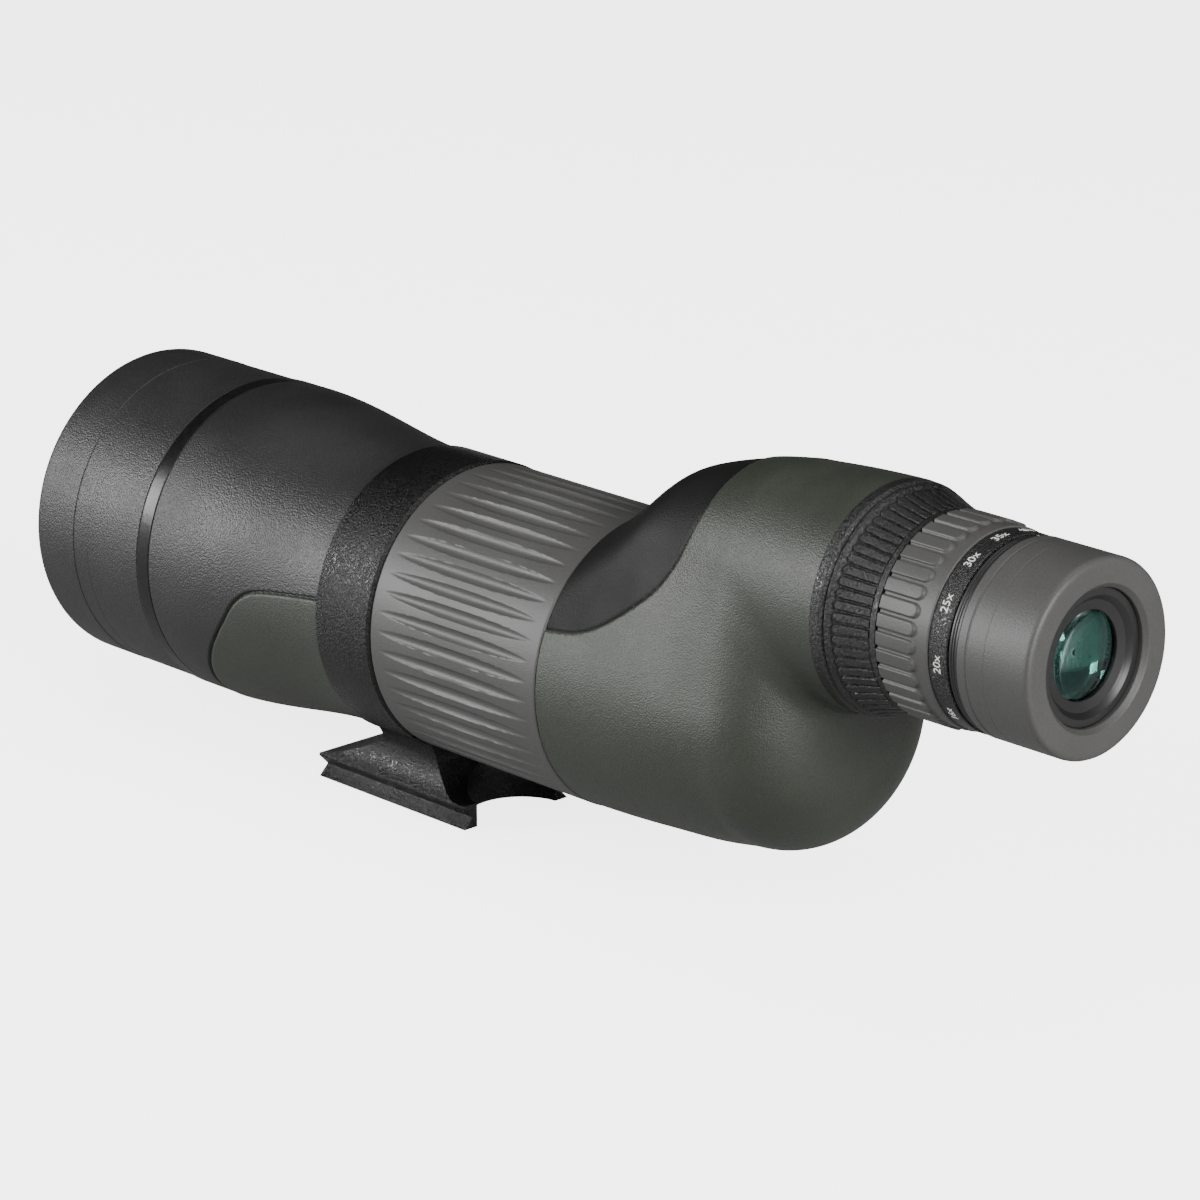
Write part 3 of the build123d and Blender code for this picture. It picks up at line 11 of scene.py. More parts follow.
import bmesh
import bpy
import numpy as np
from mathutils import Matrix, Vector


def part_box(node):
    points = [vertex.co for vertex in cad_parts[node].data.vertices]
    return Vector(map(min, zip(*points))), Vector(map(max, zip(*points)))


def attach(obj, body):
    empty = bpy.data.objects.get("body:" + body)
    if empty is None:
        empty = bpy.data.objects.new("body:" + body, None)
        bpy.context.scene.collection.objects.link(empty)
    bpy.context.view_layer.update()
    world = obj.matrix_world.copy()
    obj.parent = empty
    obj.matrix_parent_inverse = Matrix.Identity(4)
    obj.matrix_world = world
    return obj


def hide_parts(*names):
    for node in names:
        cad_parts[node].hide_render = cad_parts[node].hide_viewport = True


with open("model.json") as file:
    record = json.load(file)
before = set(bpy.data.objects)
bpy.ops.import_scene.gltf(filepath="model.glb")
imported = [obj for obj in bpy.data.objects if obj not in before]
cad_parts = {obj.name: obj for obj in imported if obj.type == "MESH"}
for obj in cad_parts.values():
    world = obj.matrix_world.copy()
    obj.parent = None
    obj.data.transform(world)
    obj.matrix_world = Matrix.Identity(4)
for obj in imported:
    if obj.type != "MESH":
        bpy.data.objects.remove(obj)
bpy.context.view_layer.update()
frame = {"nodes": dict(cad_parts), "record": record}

# %% [markdown]
# ## Units and axes
# The maker's drawings are in millimetres, so sizes are written that way and scaled once, where a mesh is made.
# Two axes carry nearly everything: the optical axis of the objective and, higher up, that of the eyepiece.

# %% Axes from the frame
MM = 0.001


def span(node):
    """The node's rear and front, and its outer radius, in millimetres."""
    low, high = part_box(node)
    return low[1] / MM, high[1] / MM, (high[0] - low[0]) / 2 / MM


def middle_height(node):
    low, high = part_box(node)
    return (low[2] + high[2]) / 2 / MM


MAIN_Z = middle_height("front_band")
EYE_Z = middle_height("zoom_index_ring")
print("optical axis at", MAIN_Z, "eyepiece axis at", EYE_Z)

# %% [markdown]
# ## Surface effects shared by several materials
# Grain, cast texture and handling tone appear on many parts with different strengths, so each is one node
# group with named inputs. A group gives only heights, masks and colours. The shader stays in the material.

# %% Group helpers
def new_group(name, inputs, outputs):
    """A shader node group with float and colour sockets."""
    tree = bpy.data.node_groups.new(name, "ShaderNodeTree")
    kinds = {"f": "NodeSocketFloat", "c": "NodeSocketColor"}
    for label, kind, value in inputs:
        socket = tree.interface.new_socket(label, in_out="INPUT", socket_type=kinds[kind])
        socket.default_value = value
    for label, kind in outputs:
        tree.interface.new_socket(label, in_out="OUTPUT", socket_type=kinds[kind])
    return tree, tree.nodes.new("NodeGroupInput"), tree.nodes.new("NodeGroupOutput")


def math_node(tree, operation, a, b=None, clamp=False):
    """A Math node. a and b are sockets or numbers."""
    node = tree.nodes.new("ShaderNodeMath")
    node.operation = operation
    node.use_clamp = clamp
    for socket, value in zip(node.inputs, (a, b)):
        if value is None:
            continue
        if isinstance(value, (int, float)):
            socket.default_value = value
        else:
            tree.links.new(value, socket)
    return node.outputs[0]


def place(tree, size):
    """Object coordinates counted in grains: one unit is one grain of that size in millimetres."""
    where = tree.nodes.new("ShaderNodeTexCoord")
    scaled = tree.nodes.new("ShaderNodeVectorMath")
    scaled.operation = "SCALE"
    tree.links.new(where.outputs["Object"], scaled.inputs[0])
    tree.links.new(math_node(tree, "DIVIDE", 1 / MM, size), scaled.inputs["Scale"])
    return scaled.outputs[0]


def ramp(tree, value, low, high):
    """0 below low, 1 above high, and smooth between them."""
    node = tree.nodes.new("ShaderNodeMapRange")
    node.interpolation_type = "SMOOTHSTEP"
    tree.links.new(value, node.inputs["Value"])
    node.inputs["From Min"].default_value = low
    node.inputs["From Max"].default_value = high
    return node.outputs["Result"]


# %% Moulded grain: soft pebbles, as on rubber armour
def build_moulded_grain():
    tree, start, end = new_group(
        "moulded grain", [("Grain mm", "f", 0.8)], [("Height", "f")]
    )
    spot = place(tree, start.outputs["Grain mm"])
    pebbles = tree.nodes.new("ShaderNodeTexVoronoi")
    pebbles.feature = "SMOOTH_F1"
    pebbles.inputs["Scale"].default_value = 1.0
    pebbles.inputs["Smoothness"].default_value = 0.6
    wander = tree.nodes.new("ShaderNodeTexNoise")
    wander.inputs["Scale"].default_value = 0.9
    wander.inputs["Detail"].default_value = 3.0
    fine = tree.nodes.new("ShaderNodeTexNoise")
    fine.inputs["Scale"].default_value = 3.1
    fine.inputs["Detail"].default_value = 2.0
    for node in (pebbles, wander, fine):
        tree.links.new(spot, node.inputs["Vector"])
    hollow = ramp(tree, pebbles.outputs["Distance"], 0.15, 0.75)
    rise = math_node(tree, "SUBTRACT", 1.0, hollow)
    rolled = math_node(tree, "MULTIPLY", wander.outputs["Fac"], 1.1)
    grit = math_node(tree, "MULTIPLY", fine.outputs["Fac"], 0.35)
    rounded = math_node(tree, "ADD", math_node(tree, "MULTIPLY", rise, 0.55), rolled)
    total = math_node(tree, "ADD", rounded, grit)
    tree.links.new(math_node(tree, "MULTIPLY", total, 0.5), end.inputs["Height"])
    return tree


MOULDED_GRAIN = build_moulded_grain()
print("group", MOULDED_GRAIN.name)


# %% Cast grain: sharp little crests that catch the light
def build_cast_grain():
    tree, start, end = new_group(
        "cast grain", [("Grain mm", "f", 0.7)], [("Height", "f")]
    )
    spot = place(tree, start.outputs["Grain mm"])
    coarse = tree.nodes.new("ShaderNodeTexNoise")
    coarse.inputs["Scale"].default_value = 0.8
    coarse.inputs["Detail"].default_value = 4.0
    coarse.inputs["Roughness"].default_value = 0.62
    pits = tree.nodes.new("ShaderNodeTexVoronoi")
    pits.inputs["Scale"].default_value = 0.9
    for node in (coarse, pits):
        tree.links.new(spot, node.inputs["Vector"])
    crest = ramp(tree, coarse.outputs["Fac"], 0.38, 0.66)
    sunk = math_node(tree, "MULTIPLY", ramp(tree, pits.outputs["Distance"], 0.0, 0.55), 0.45)
    tree.links.new(math_node(tree, "ADD", crest, sunk), end.inputs["Height"])
    return tree


CAST_GRAIN = build_cast_grain()
print("group", CAST_GRAIN.name)


# %% Handling tone: slow drifts of colour and shine, with a little dust
def build_handling():
    tree, start, end = new_group(
        "handling tone",
        [
            ("Colour", "c", (0.05, 0.05, 0.05, 1)),
            ("Rubbed colour", "c", (0.1, 0.1, 0.1, 1)),
            ("Rubbed", "f", 0.5),
            ("Roughness", "f", 0.6),
            ("Drift", "f", 0.08),
            ("Relief", "f", 0.5),
        ],
        [("Colour", "c"), ("Roughness", "f")],
    )
    slow = tree.nodes.new("ShaderNodeTexNoise")
    slow.inputs["Scale"].default_value = 1.0
    slow.inputs["Detail"].default_value = 4.0
    tree.links.new(place(tree, 22.0), slow.inputs["Vector"])
    patch = ramp(tree, slow.outputs["Fac"], 0.3, 0.7)
    share = math_node(tree, "MULTIPLY", start.outputs["Relief"], start.outputs["Rubbed"])
    uneven = math_node(tree, "ADD", math_node(tree, "MULTIPLY", patch, 0.5), 0.75)
    drifted = math_node(tree, "MULTIPLY", share, uneven)
    blend = tree.nodes.new("ShaderNodeMix")
    blend.data_type = "RGBA"
    tree.links.new(drifted, blend.inputs["Factor"])
    tree.links.new(start.outputs["Colour"], blend.inputs["A"])
    tree.links.new(start.outputs["Rubbed colour"], blend.inputs["B"])
    tree.links.new(blend.outputs["Result"], end.inputs["Colour"])
    swing = math_node(tree, "MULTIPLY", math_node(tree, "SUBTRACT", patch, 0.5), start.outputs["Drift"])
    tree.links.new(math_node(tree, "ADD", start.outputs["Roughness"], swing, clamp=True), end.inputs["Roughness"])
    return tree


HANDLING = build_handling()
print("group", HANDLING.name)

# %% [markdown]
# ## Materials
# One function lays out the usual chain: a grain group feeds a Bump node, and its relief also tints the
# colour, because worn rubber and paint are lighter on their high spots. Each finish then only gives values.

# %% The common material
def finish(
    name, grain, colour, rubbed, grain_mm, bump_mm, roughness, drift=0.08, share=0.5, metallic=0.0, **sockets
):
    """A material whose relief, colour and shine vary with a grain group. Plain values go on the shader."""
    material = bpy.data.materials.new(name)
    material.use_nodes = True
    tree = material.node_tree
    shader = tree.nodes["Principled BSDF"]
    relief = tree.nodes.new("ShaderNodeGroup")
    relief.node_tree = grain
    relief.inputs["Grain mm"].default_value = grain_mm
    tone = tree.nodes.new("ShaderNodeGroup")
    tone.node_tree = HANDLING
    tone.inputs["Colour"].default_value = (*colour, 1)
    tone.inputs["Rubbed colour"].default_value = (*rubbed, 1)
    tone.inputs["Rubbed"].default_value = share
    tone.inputs["Roughness"].default_value = roughness
    tone.inputs["Drift"].default_value = drift
    tree.links.new(relief.outputs["Height"], tone.inputs["Relief"])
    tree.links.new(tone.outputs["Colour"], shader.inputs["Base Color"])
    tree.links.new(tone.outputs["Roughness"], shader.inputs["Roughness"])
    bump = tree.nodes.new("ShaderNodeBump")
    bump.inputs["Distance"].default_value = bump_mm * MM
    tree.links.new(relief.outputs["Height"], bump.inputs["Height"])
    tree.links.new(bump.outputs["Normal"], shader.inputs["Normal"])
    shader.inputs["Metallic"].default_value = metallic
    for label, value in sockets.items():
        shader.inputs[label.replace("_", " ")].default_value = value
    return material


# %% Rubber, castings and paint
MATERIALS = {
    "charcoal_armour": finish(
        "charcoal armour", MOULDED_GRAIN, (0.008, 0.008, 0.008), (0.032, 0.032, 0.031), 0.5, 0.2, 0.46
    ),
    "green_armour": finish(
        "green armour", MOULDED_GRAIN, (0.0165, 0.0195, 0.0140), (0.053, 0.061, 0.045), 0.42, 0.16, 0.48
    ),
    "grey_rubber": finish(
        "grey rubber", MOULDED_GRAIN, (0.042, 0.041, 0.040), (0.084, 0.082, 0.080), 0.45, 0.06, 0.5, drift=0.05
    ),
    "black_casting": finish(
        "black casting", CAST_GRAIN, (0.002, 0.002, 0.002), (0.008, 0.008, 0.0078), 0.6, 0.09, 0.28, drift=0.1,
        Specular_IOR_Level=0.3
    ),
    "grained_black": finish(
        "grained black", CAST_GRAIN, (0.003, 0.003, 0.003), (0.014, 0.014, 0.0135), 0.6, 0.12, 0.32
    ),
    "gloss_black": finish(
        "gloss black", CAST_GRAIN, (0.003, 0.003, 0.003), (0.010, 0.010, 0.010), 1.4, 0.012, 0.3, drift=0.05,
        Specular_IOR_Level=0.3
    ),
    "black_anodised": finish(
        "black anodised", MOULDED_GRAIN, (0.008, 0.008, 0.008), (0.020, 0.020, 0.020), 0.2, 0.008, 0.42
    ),
    "housing_shell": finish(
        "housing shell", MOULDED_GRAIN, (0.012, 0.012, 0.012), (0.03, 0.03, 0.03), 0.3, 0.02, 0.5
    ),
    "seal_rubber": finish(
        "seal rubber", MOULDED_GRAIN, (0.008, 0.008, 0.008), (0.02, 0.02, 0.02), 0.3, 0.01, 0.5
    ),
    "nylon": finish("nylon", MOULDED_GRAIN, (0.03, 0.03, 0.03), (0.06, 0.06, 0.06), 0.4, 0.01, 0.45),
    "saddle_rubber": finish(
        "saddle rubber", MOULDED_GRAIN, (0.003, 0.0033, 0.003), (0.012, 0.013, 0.0115), 0.42, 0.12, 0.55,
        Specular_IOR_Level=0.18
    ),
    "steel": finish(
        "steel", CAST_GRAIN, (0.34, 0.34, 0.35), (0.55, 0.55, 0.56), 0.3, 0.004, 0.28, metallic=1.0
    ),
    "brass": finish(
        "brass", CAST_GRAIN, (0.50, 0.36, 0.14), (0.78, 0.60, 0.28), 0.3, 0.004, 0.27, metallic=1.0
    ),
}
print(len(MATERIALS), "finishes")

# %% [markdown]
# ## Glass
# A coated lens reflects its coating's colour and lets the rest through. The transmission is plain, and the
# blue-green comes from a tinted reflection, which is what a multilayer coating does.

# %% Coated and plain glass
def glass(name, colour, tint, ior, roughness=0.0):
    material = bpy.data.materials.new(name)
    material.use_nodes = True
    tree = material.node_tree
    shader = tree.nodes["Principled BSDF"]
    shader.inputs["Metallic"].default_value = 0.0
    shader.inputs["Transmission Weight"].default_value = 1.0
    shader.inputs["IOR"].default_value = ior
    shader.inputs["Specular Tint"].default_value = (*tint, 1)
    shader.inputs["Roughness"].default_value = roughness
    veil = tree.nodes.new("ShaderNodeTexNoise")
    veil.inputs["Scale"].default_value = 60.0
    tone = tree.nodes.new("ShaderNodeMix")
    tone.data_type = "RGBA"
    tone.inputs["A"].default_value = (*colour, 1)
    tone.inputs["B"].default_value = (*[min(1.0, 1.08 * part) for part in colour], 1)
    where = tree.nodes.new("ShaderNodeTexCoord")
    tree.links.new(where.outputs["Object"], veil.inputs["Vector"])
    tree.links.new(veil.outputs["Fac"], tone.inputs["Factor"])
    tree.links.new(tone.outputs["Result"], shader.inputs["Base Color"])
    return material


MATERIALS["lens_glass"] = glass("coated glass", (0.62, 0.90, 0.84), (0.35, 1.0, 0.85), 1.62)
MATERIALS["prism_glass"] = glass("prism glass", (0.93, 0.97, 0.96), (1.0, 1.0, 1.0), 1.57)

# %% Every carried-over solid gets its finish
SLOT_OF = {part["node"]: part["material_slot"] for part in frame["record"]["subparts"]}


def dress(piece, finish_name):
    """Gives the piece its finish."""
    piece.data.materials.clear()
    piece.data.materials.append(MATERIALS[finish_name])


for node, solid in frame["nodes"].items():
    dress(solid, SLOT_OF[node])
print(len(frame["nodes"]), "solids dressed")

# %% [markdown]
# ## Meshes from numbers
# Most parts of a scope are turned, so they are swept round an axis from an outline. The outline is closed
# and so is the sweep, which gives a closed ring with no stray faces. Corners get a real radius, because
# no moulded or machined edge is perfectly sharp, and the radius is what catches the light.

# %% Mesh helpers
def solid(name, points_mm, faces, slot, body, nodes, sharp_deg=None):
    """A finished piece from points in millimetres. It rides on a body and stands for its solids."""
    points = np.asarray(points_mm, dtype=float) * MM
    mesh = bpy.data.meshes.new(name)
    mesh.from_pydata(points.tolist(), [], np.asarray(faces).tolist() if not isinstance(faces, list) else faces)
    mesh.update()
    form = bmesh.new()
    form.from_mesh(mesh)
    if form.calc_volume(signed=True) < 0:
        bmesh.ops.reverse_faces(form, faces=form.faces)
    form.to_mesh(mesh)
    form.free()
    mesh.shade_smooth()
    if sharp_deg:
        mesh.set_sharp_from_angle(angle=math.radians(sharp_deg))
    piece = bpy.data.objects.new(name, mesh)
    bpy.context.collection.objects.link(piece)
    dress(piece, slot)
    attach(piece, body)
    if nodes:
        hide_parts(*nodes)
    print(name, len(points), "points")
    return piece


def softened(corners, steps=5):
    """A closed outline from (y, r, radius) corners: each corner is rounded with its own radius."""
    outline = []
    count = len(corners)
    for index, (y, r, radius) in enumerate(corners):
        here = np.array((y, r))
        if radius <= 0:
            outline.append(here)
            continue
        before = np.array(corners[index - 1][:2]) - here
        after = np.array(corners[(index + 1) % count][:2]) - here
        arm_a, arm_b = np.linalg.norm(before), np.linalg.norm(after)
        half = math.acos(np.clip(np.dot(before, after) / (arm_a * arm_b), -1, 1)) / 2
        reach = min(radius / math.tan(half), arm_a * 0.49, arm_b * 0.49)
        start, end = here + before / arm_a * reach, here + after / arm_b * reach
        for step in range(steps + 1):
            t = step / steps
            outline.append((1 - t) ** 2 * start + 2 * t * (1 - t) * here + t * t * end)
    return np.array(outline)


def stepped(outline, pitch):
    """The same closed outline with no gap longer than pitch."""
    dense = []
    for here, there in zip(outline, np.roll(outline, -1, axis=0)):
        parts = max(1, int(math.ceil(np.linalg.norm(there - here) / pitch)))
        for part in range(parts):
            dense.append(here + (there - here) * part / parts)
    return np.array(dense)


def turned(name, axis_z, outline, slot, body, nodes, sides=240, relief=None, sharp_deg=None):
    """Sweeps a closed (y, r) outline round the axis. relief(angle, y, r) is added to the radius."""
    count = len(outline)
    angle = np.arange(sides) * 2 * math.pi / sides
    y = np.repeat(outline[None, :, 0], sides, axis=0)
    r = np.repeat(outline[None, :, 1], sides, axis=0)
    turn = np.repeat(angle[:, None], count, axis=1)
    if relief is not None:
        r = r + relief(turn, y, r)
    points = np.stack([r * np.sin(turn), y, axis_z + r * np.cos(turn)], axis=-1).reshape(-1, 3)
    i, j = np.meshgrid(np.arange(sides), np.arange(count), indexing="ij")
    i2, j2 = (i + 1) % sides, (j + 1) % count
    faces = np.stack([i * count + j, i2 * count + j, i2 * count + j2, i * count + j2], axis=-1).reshape(-1, 4)
    return solid(name, points, faces, slot, body, nodes, sharp_deg)


def smooth(value, low, high):
    """0 below low, 1 above high, and an S-curve between them."""
    t = np.clip((value - low) / (high - low), 0, 1)
    return t * t * (3 - 2 * t)


def notch(value, centre, width, depth):
    """A small rounded groove across value."""
    t = np.clip(np.abs(value - centre) / (width / 2), 0, 1)
    return -depth * (1 - t * t) ** 2


# %% [markdown]
# ## Hood
# The sunshade slides on the objective tube. It has two rubber parts: a sleeve behind, and a thick bumper in
# front that is rounded where it meets the ground first. A faint parting line runs round the sleeve.

# %% Hood sleeve and bumper
def ring_corners(rear, front, inner, outer, rear_soft, front_soft, inner_front_soft=0.2):
    return [
        (rear, inner, 0.1),
        (rear, outer, rear_soft),
        (front, outer, front_soft),
        (front, inner, inner_front_soft),
    ]


sleeve_rear, sleeve_front, SLEEVE_R = span("sunshade_armour")
bumper_rear, bumper_front, BUMPER_R = span("sunshade_bumper")
SHADE_TUBE_R = span("sunshade_tube")[2]
SLEEVE_LINE = 98.9
RIM = 2.9

turned(
    "hood_sleeve",
    MAIN_Z,
    stepped(softened(ring_corners(sleeve_rear, sleeve_front, SHADE_TUBE_R, SLEEVE_R, 0.5, 0.25)), 0.35),
    "charcoal_armour",
    "sunshade",
    ["sunshade_armour"],
    relief=lambda turn, y, r: np.where(r > SLEEVE_R - 0.2, notch(y, SLEEVE_LINE, 0.5, 0.10), 0),
)

rim_start = bumper_front - RIM
HOOD_BORE = 39.3
turned(
    "hood_bumper",
    MAIN_Z,
    stepped(
        softened(
            [
                (bumper_rear, SHADE_TUBE_R, 0.1),
                (bumper_rear, BUMPER_R, 0.45),
                (bumper_front, BUMPER_R, 2.2),
                (bumper_front, HOOD_BORE, 1.4),
                (rim_start, HOOD_BORE, 0.1),
                (rim_start, SHADE_TUBE_R, 0.1),
            ],
            8,
        ),
        0.8,
    ),
    "charcoal_armour",
    "sunshade",
    ["sunshade_bumper"],
)

# %% [markdown]
# ## Front band
# A narrow gloss ring closes the front of the barrel's armour. It is plain, with a crisp edge on each side.

# %% Front band
BAND_WALL = 2.1
band_rear, band_front, BAND_R = span("front_band")
turned(
    "front_band_ring",
    MAIN_Z,
    stepped(softened(ring_corners(band_rear, band_front, BAND_R - BAND_WALL, BAND_R, 0.3, 0.35)), 0.5),
    "gloss_black",
    "scope_body",
    ["front_band"],
)

# %% [markdown]
# ## Barrel armour and its panel
# The barrel flares from the collar to the front band in one S-curve. A second colour of rubber is let into
# it: a panel that starts beside the collar and wraps under the barrel, with a narrow channel all round.
# Both come from one fine grid. Its height falls into the channel, and the grid is cut apart along the
# channel's floor, where the cut can't be seen.

# %% Cutting a skin out of a grid
def bezier(points, count):
    t = np.linspace(0, 1, count)[:, None]
    a, b, c, d = (np.array(point, dtype=float) for point in points)
    return (1 - t) ** 3 * a + 3 * t * (1 - t) ** 2 * b + 3 * t * t * (1 - t) * c + t**3 * d


def through(points, count):
    """A smooth open line through points, by Catmull-Rom."""
    points = [np.array(point, dtype=float) for point in points]
    ends = [2 * points[0] - points[1]] + points + [2 * points[-1] - points[-2]]
    line = []
    for index in range(1, len(ends) - 2):
        a, b, c, d = ends[index - 1 : index + 3]
        for step in range(count):
            t = step / count
            bend = (2 * a - 5 * b + 4 * c - d) * t * t + (3 * b - a - 3 * c + d) * t**3
            line.append(0.5 * (2 * b + (c - a) * t + bend))
    line.append(points[-1])
    return np.array(line)


def side_distance(y, z, outline):
    """Signed distance in the side view: positive inside a closed outline of (y, z) points."""
    spot = np.stack([np.ravel(y), np.ravel(z)], axis=-1)
    best = np.full(len(spot), 1e9)
    inside = np.zeros(len(spot), dtype=bool)
    for (ay, az), (by, bz) in zip(outline, np.roll(outline, -1, axis=0)):
        edge = np.array((by - ay, bz - az))
        long = float(edge @ edge)
        if long < 1e-12:
            continue
        t = np.clip(((spot - (ay, az)) @ edge) / long, 0, 1)
        best = np.minimum(best, np.hypot(*(spot - (ay, az) - t[:, None] * edge).T))
        crosses = (az > spot[:, 1]) != (bz > spot[:, 1])
        with np.errstate(divide="ignore", invalid="ignore"):
            where = (by - ay) * (spot[:, 1] - az) / (bz - az) + ay
        inside ^= crosses & (spot[:, 0] < where)
    return np.where(inside, best, -best).reshape(np.shape(y))


def skin(name, outer, inner, faces, slot, body, nodes, sharp_deg=50):
    """A closed shell: these faces of the outer points, the same faces of the inner ones, and walls between."""
    faces = np.asarray(faces)
    used = np.unique(faces)
    number = np.full(len(outer), -1)
    number[used] = np.arange(len(used))
    faces = number[faces]
    count = len(used)
    edges = {}
    for shift in range(faces.shape[1]):
        for a, b in zip(faces[:, shift].tolist(), faces[:, (shift + 1) % faces.shape[1]].tolist()):
            edges[(a, b)] = True
    walls = [(b, a, a + count, b + count) for a, b in edges if (b, a) not in edges]
    everything = faces.tolist() + (faces[:, ::-1] + count).tolist() + walls
    return solid(name, np.concatenate([outer[used], inner[used]]), everything, slot, body, nodes, sharp_deg)


# %% Barrel armour and panel
armour_rear, armour_front, WIDE_R = span("barrel_armour")
NARROW_R = 39.1
FLARE_REAR, FLARE_FRONT = 8.0, 66.0
RUBBER = 2.1
CHANNEL = 1.1
CHANNEL_DEPTH = 0.75
PANEL_PROUD = 0.25
END_LENGTH = 0.45
END_DROP = 0.35

flare = bezier(
    [
        (FLARE_REAR, NARROW_R),
        (FLARE_REAR + (FLARE_FRONT - FLARE_REAR) / 3, NARROW_R),
        (FLARE_FRONT - (FLARE_FRONT - FLARE_REAR) / 3, WIDE_R),
        (FLARE_FRONT, WIDE_R),
    ],
    200,
)
panel_outline = np.concatenate(
    [
        np.array([(armour_rear - 6.0, MAIN_Z + 6.0)]),
        through(
            [
                (armour_rear + 2.0, MAIN_Z + 5.2),
                (18.0, MAIN_Z + 4.0),
                (28.0, MAIN_Z + 2.7),
                (33.5, MAIN_Z + 1.0),
                (38.4, MAIN_Z - 2.8),
                (43.5, MAIN_Z - 9.6),
                (51.8, MAIN_Z - 20.0),
                (57.5, MAIN_Z - 28.5),
                (61.0, MAIN_Z - 36.0),
                (62.5, MAIN_Z - 47.0),
            ],
            10,
        ),
        np.array([(armour_rear - 6.0, MAIN_Z - 47.0)]),
    ]
)


def rounded_end(distance):
    """How far the surface falls at this distance from an end."""
    short = 1 - np.clip(distance / END_LENGTH, 0, 1)
    return END_DROP * (1 - np.sqrt(np.clip(1 - short**2, 0, 1)))


def barrel_grid(sides=760, pitch=0.3):
    """The armour's outer and inner points, its faces, and each face's depth inside the panel."""
    rows = int((armour_front - armour_rear) / pitch)
    y_line = np.linspace(armour_rear, armour_front, rows + 1)
    r_line = np.interp(y_line, flare[:, 0], flare[:, 1])
    turn, y = np.meshgrid(np.arange(sides) * 2 * math.pi / sides, y_line, indexing="ij")
    r = np.repeat(r_line[None, :], sides, axis=0)
    end_round = rounded_end(armour_front - y) + rounded_end(y - armour_rear)
    inside = side_distance(y, MAIN_Z + r * np.cos(turn), panel_outline)
    channel = np.clip(np.abs(inside) / (CHANNEL / 2), 0, 1)
    wall = 1 - smooth(channel, 0.45, 1.0)
    raised = PANEL_PROUD * smooth(inside, 0.2, 1.0)
    top = r + raised - end_round - CHANNEL_DEPTH * wall
    under = r - RUBBER + 0.02

    def place_at(radius):
        return np.stack([radius * np.sin(turn), y, MAIN_Z + radius * np.cos(turn)], axis=-1).reshape(-1, 3)

    count = rows + 1
    i, j = np.meshgrid(np.arange(sides), np.arange(rows), indexing="ij")
    i2 = (i + 1) % sides
    faces = np.stack([i * count + j, i2 * count + j, i2 * count + j + 1, i * count + j + 1], axis=-1)
    faces = faces.reshape(-1, 4)
    centre = inside.reshape(-1)[faces].mean(axis=1)
    return place_at(top), place_at(under), faces, centre


top_points, under_points, barrel_faces, depth_inside = barrel_grid()
skin("barrel_armour_skin", top_points, under_points, barrel_faces[depth_inside <= 0], "charcoal_armour",
     "scope_body", ["barrel_armour"])
skin("barrel_panel", top_points, under_points, barrel_faces[depth_inside > 0], "green_armour",
     "scope_body", ["barrel_inlay"])

# %% [markdown]
# ## Focus ring
# The grip is rubber with long leaf-shaped grooves, as a round cutter leaves when it dips in and out. Each
# groove is deepest and widest in the middle and runs out to a point before the ring's plain rims.

# %% Focus grip
grip_rear, grip_front, GRIP_R = span("focus_ring_grip")
CORE_R = span("focus_ring_core")[2]
LEAVES = 46
LEAF_DEPTH = 0.95
LEAF_HALF_WIDTH = 1.75
LEAF_MARGIN = 3.2


def leaf_grooves(turn, y, r):
    pitch = 2 * math.pi / LEAVES
    across = (np.mod(turn / pitch + 0.5, 1.0) - 0.5) * pitch * GRIP_R
    middle = (grip_front + grip_rear) / 2
    along = np.clip(np.abs(y - middle) / ((grip_front - grip_rear) / 2 - LEAF_MARGIN), 0, 1)
    depth = LEAF_DEPTH * (1 - along**2)
    half = LEAF_HALF_WIDTH * (1 - along**2) ** 0.6 + 1e-6
    groove = -depth * np.clip(1 - (across / half) ** 2, 0, 1) ** 0.8
    return np.where(r > GRIP_R - 0.7, groove, 0)


turned(
    "focus_grip",
    MAIN_Z,
    stepped(softened(ring_corners(grip_rear, grip_front, CORE_R, GRIP_R, 0.6, 0.6)), 0.7),
    "grey_rubber",
    "focus_ring",
    ["focus_ring_grip"],
    sides=LEAVES * 24,
    relief=leaf_grooves,
    sharp_deg=32,
)

# %% [markdown]
# ## Eyepiece
# From the housing back: a grained lip, the lock ring with its narrow ribs, a black shoulder, the zoom ring
# with wider ribs, the scale band with its numerals, the fixed index ring and the soft eyecup.

# %% Eyepiece seat
def eye_ring(name, node, corners, slot, body, pitch=0.7, sides=240, relief=None, sharp_deg=None):
    """A turned piece round the eyepiece axis that stands for one solid."""
    outline = stepped(softened(corners), pitch)
    return turned(name, EYE_Z, outline, slot, body, [node], sides, relief, sharp_deg)


seat_rear, seat_front, SEAT_R = span("eyepiece_seat")
neck_rear = span("housing_armour")[0]
eye_ring(
    "eyepiece_lip",
    "eyepiece_seat",
    [
        (seat_front, 21.0, 0.1),
        (seat_rear, 21.0, 0.1),
        (seat_rear, SEAT_R - 1.3, 0.2),
        (seat_rear + 0.9, SEAT_R - 0.1, 0.5),
        (neck_rear + 0.25, SEAT_R, 0.3),
        (neck_rear + 0.05, SEAT_R - 1.0, 0.1),
        (neck_rear + 0.05, 26.1, 0.1),
        (seat_front, 26.1, 0.1),
    ],
    "grained_black",
    "scope_body",
    pitch=0.5,
)

# %% Lock ring with narrow ribs
lock_rear, lock_front, LOCK_R = span("eyepiece_lock_ring")
LOCK_REAR_R = 26.3
LOCK_MIDDLE_R = 27.8
LOCK_HOLLOW = 1.2  # how much the ring's side is waisted
EYE_TUBE_R = 22.1
LOCK_RIBS = 60
LOCK_RIB_HALF = 0.92
LOCK_RIB_DEPTH = 0.85
LOCK_RIM = 2.3


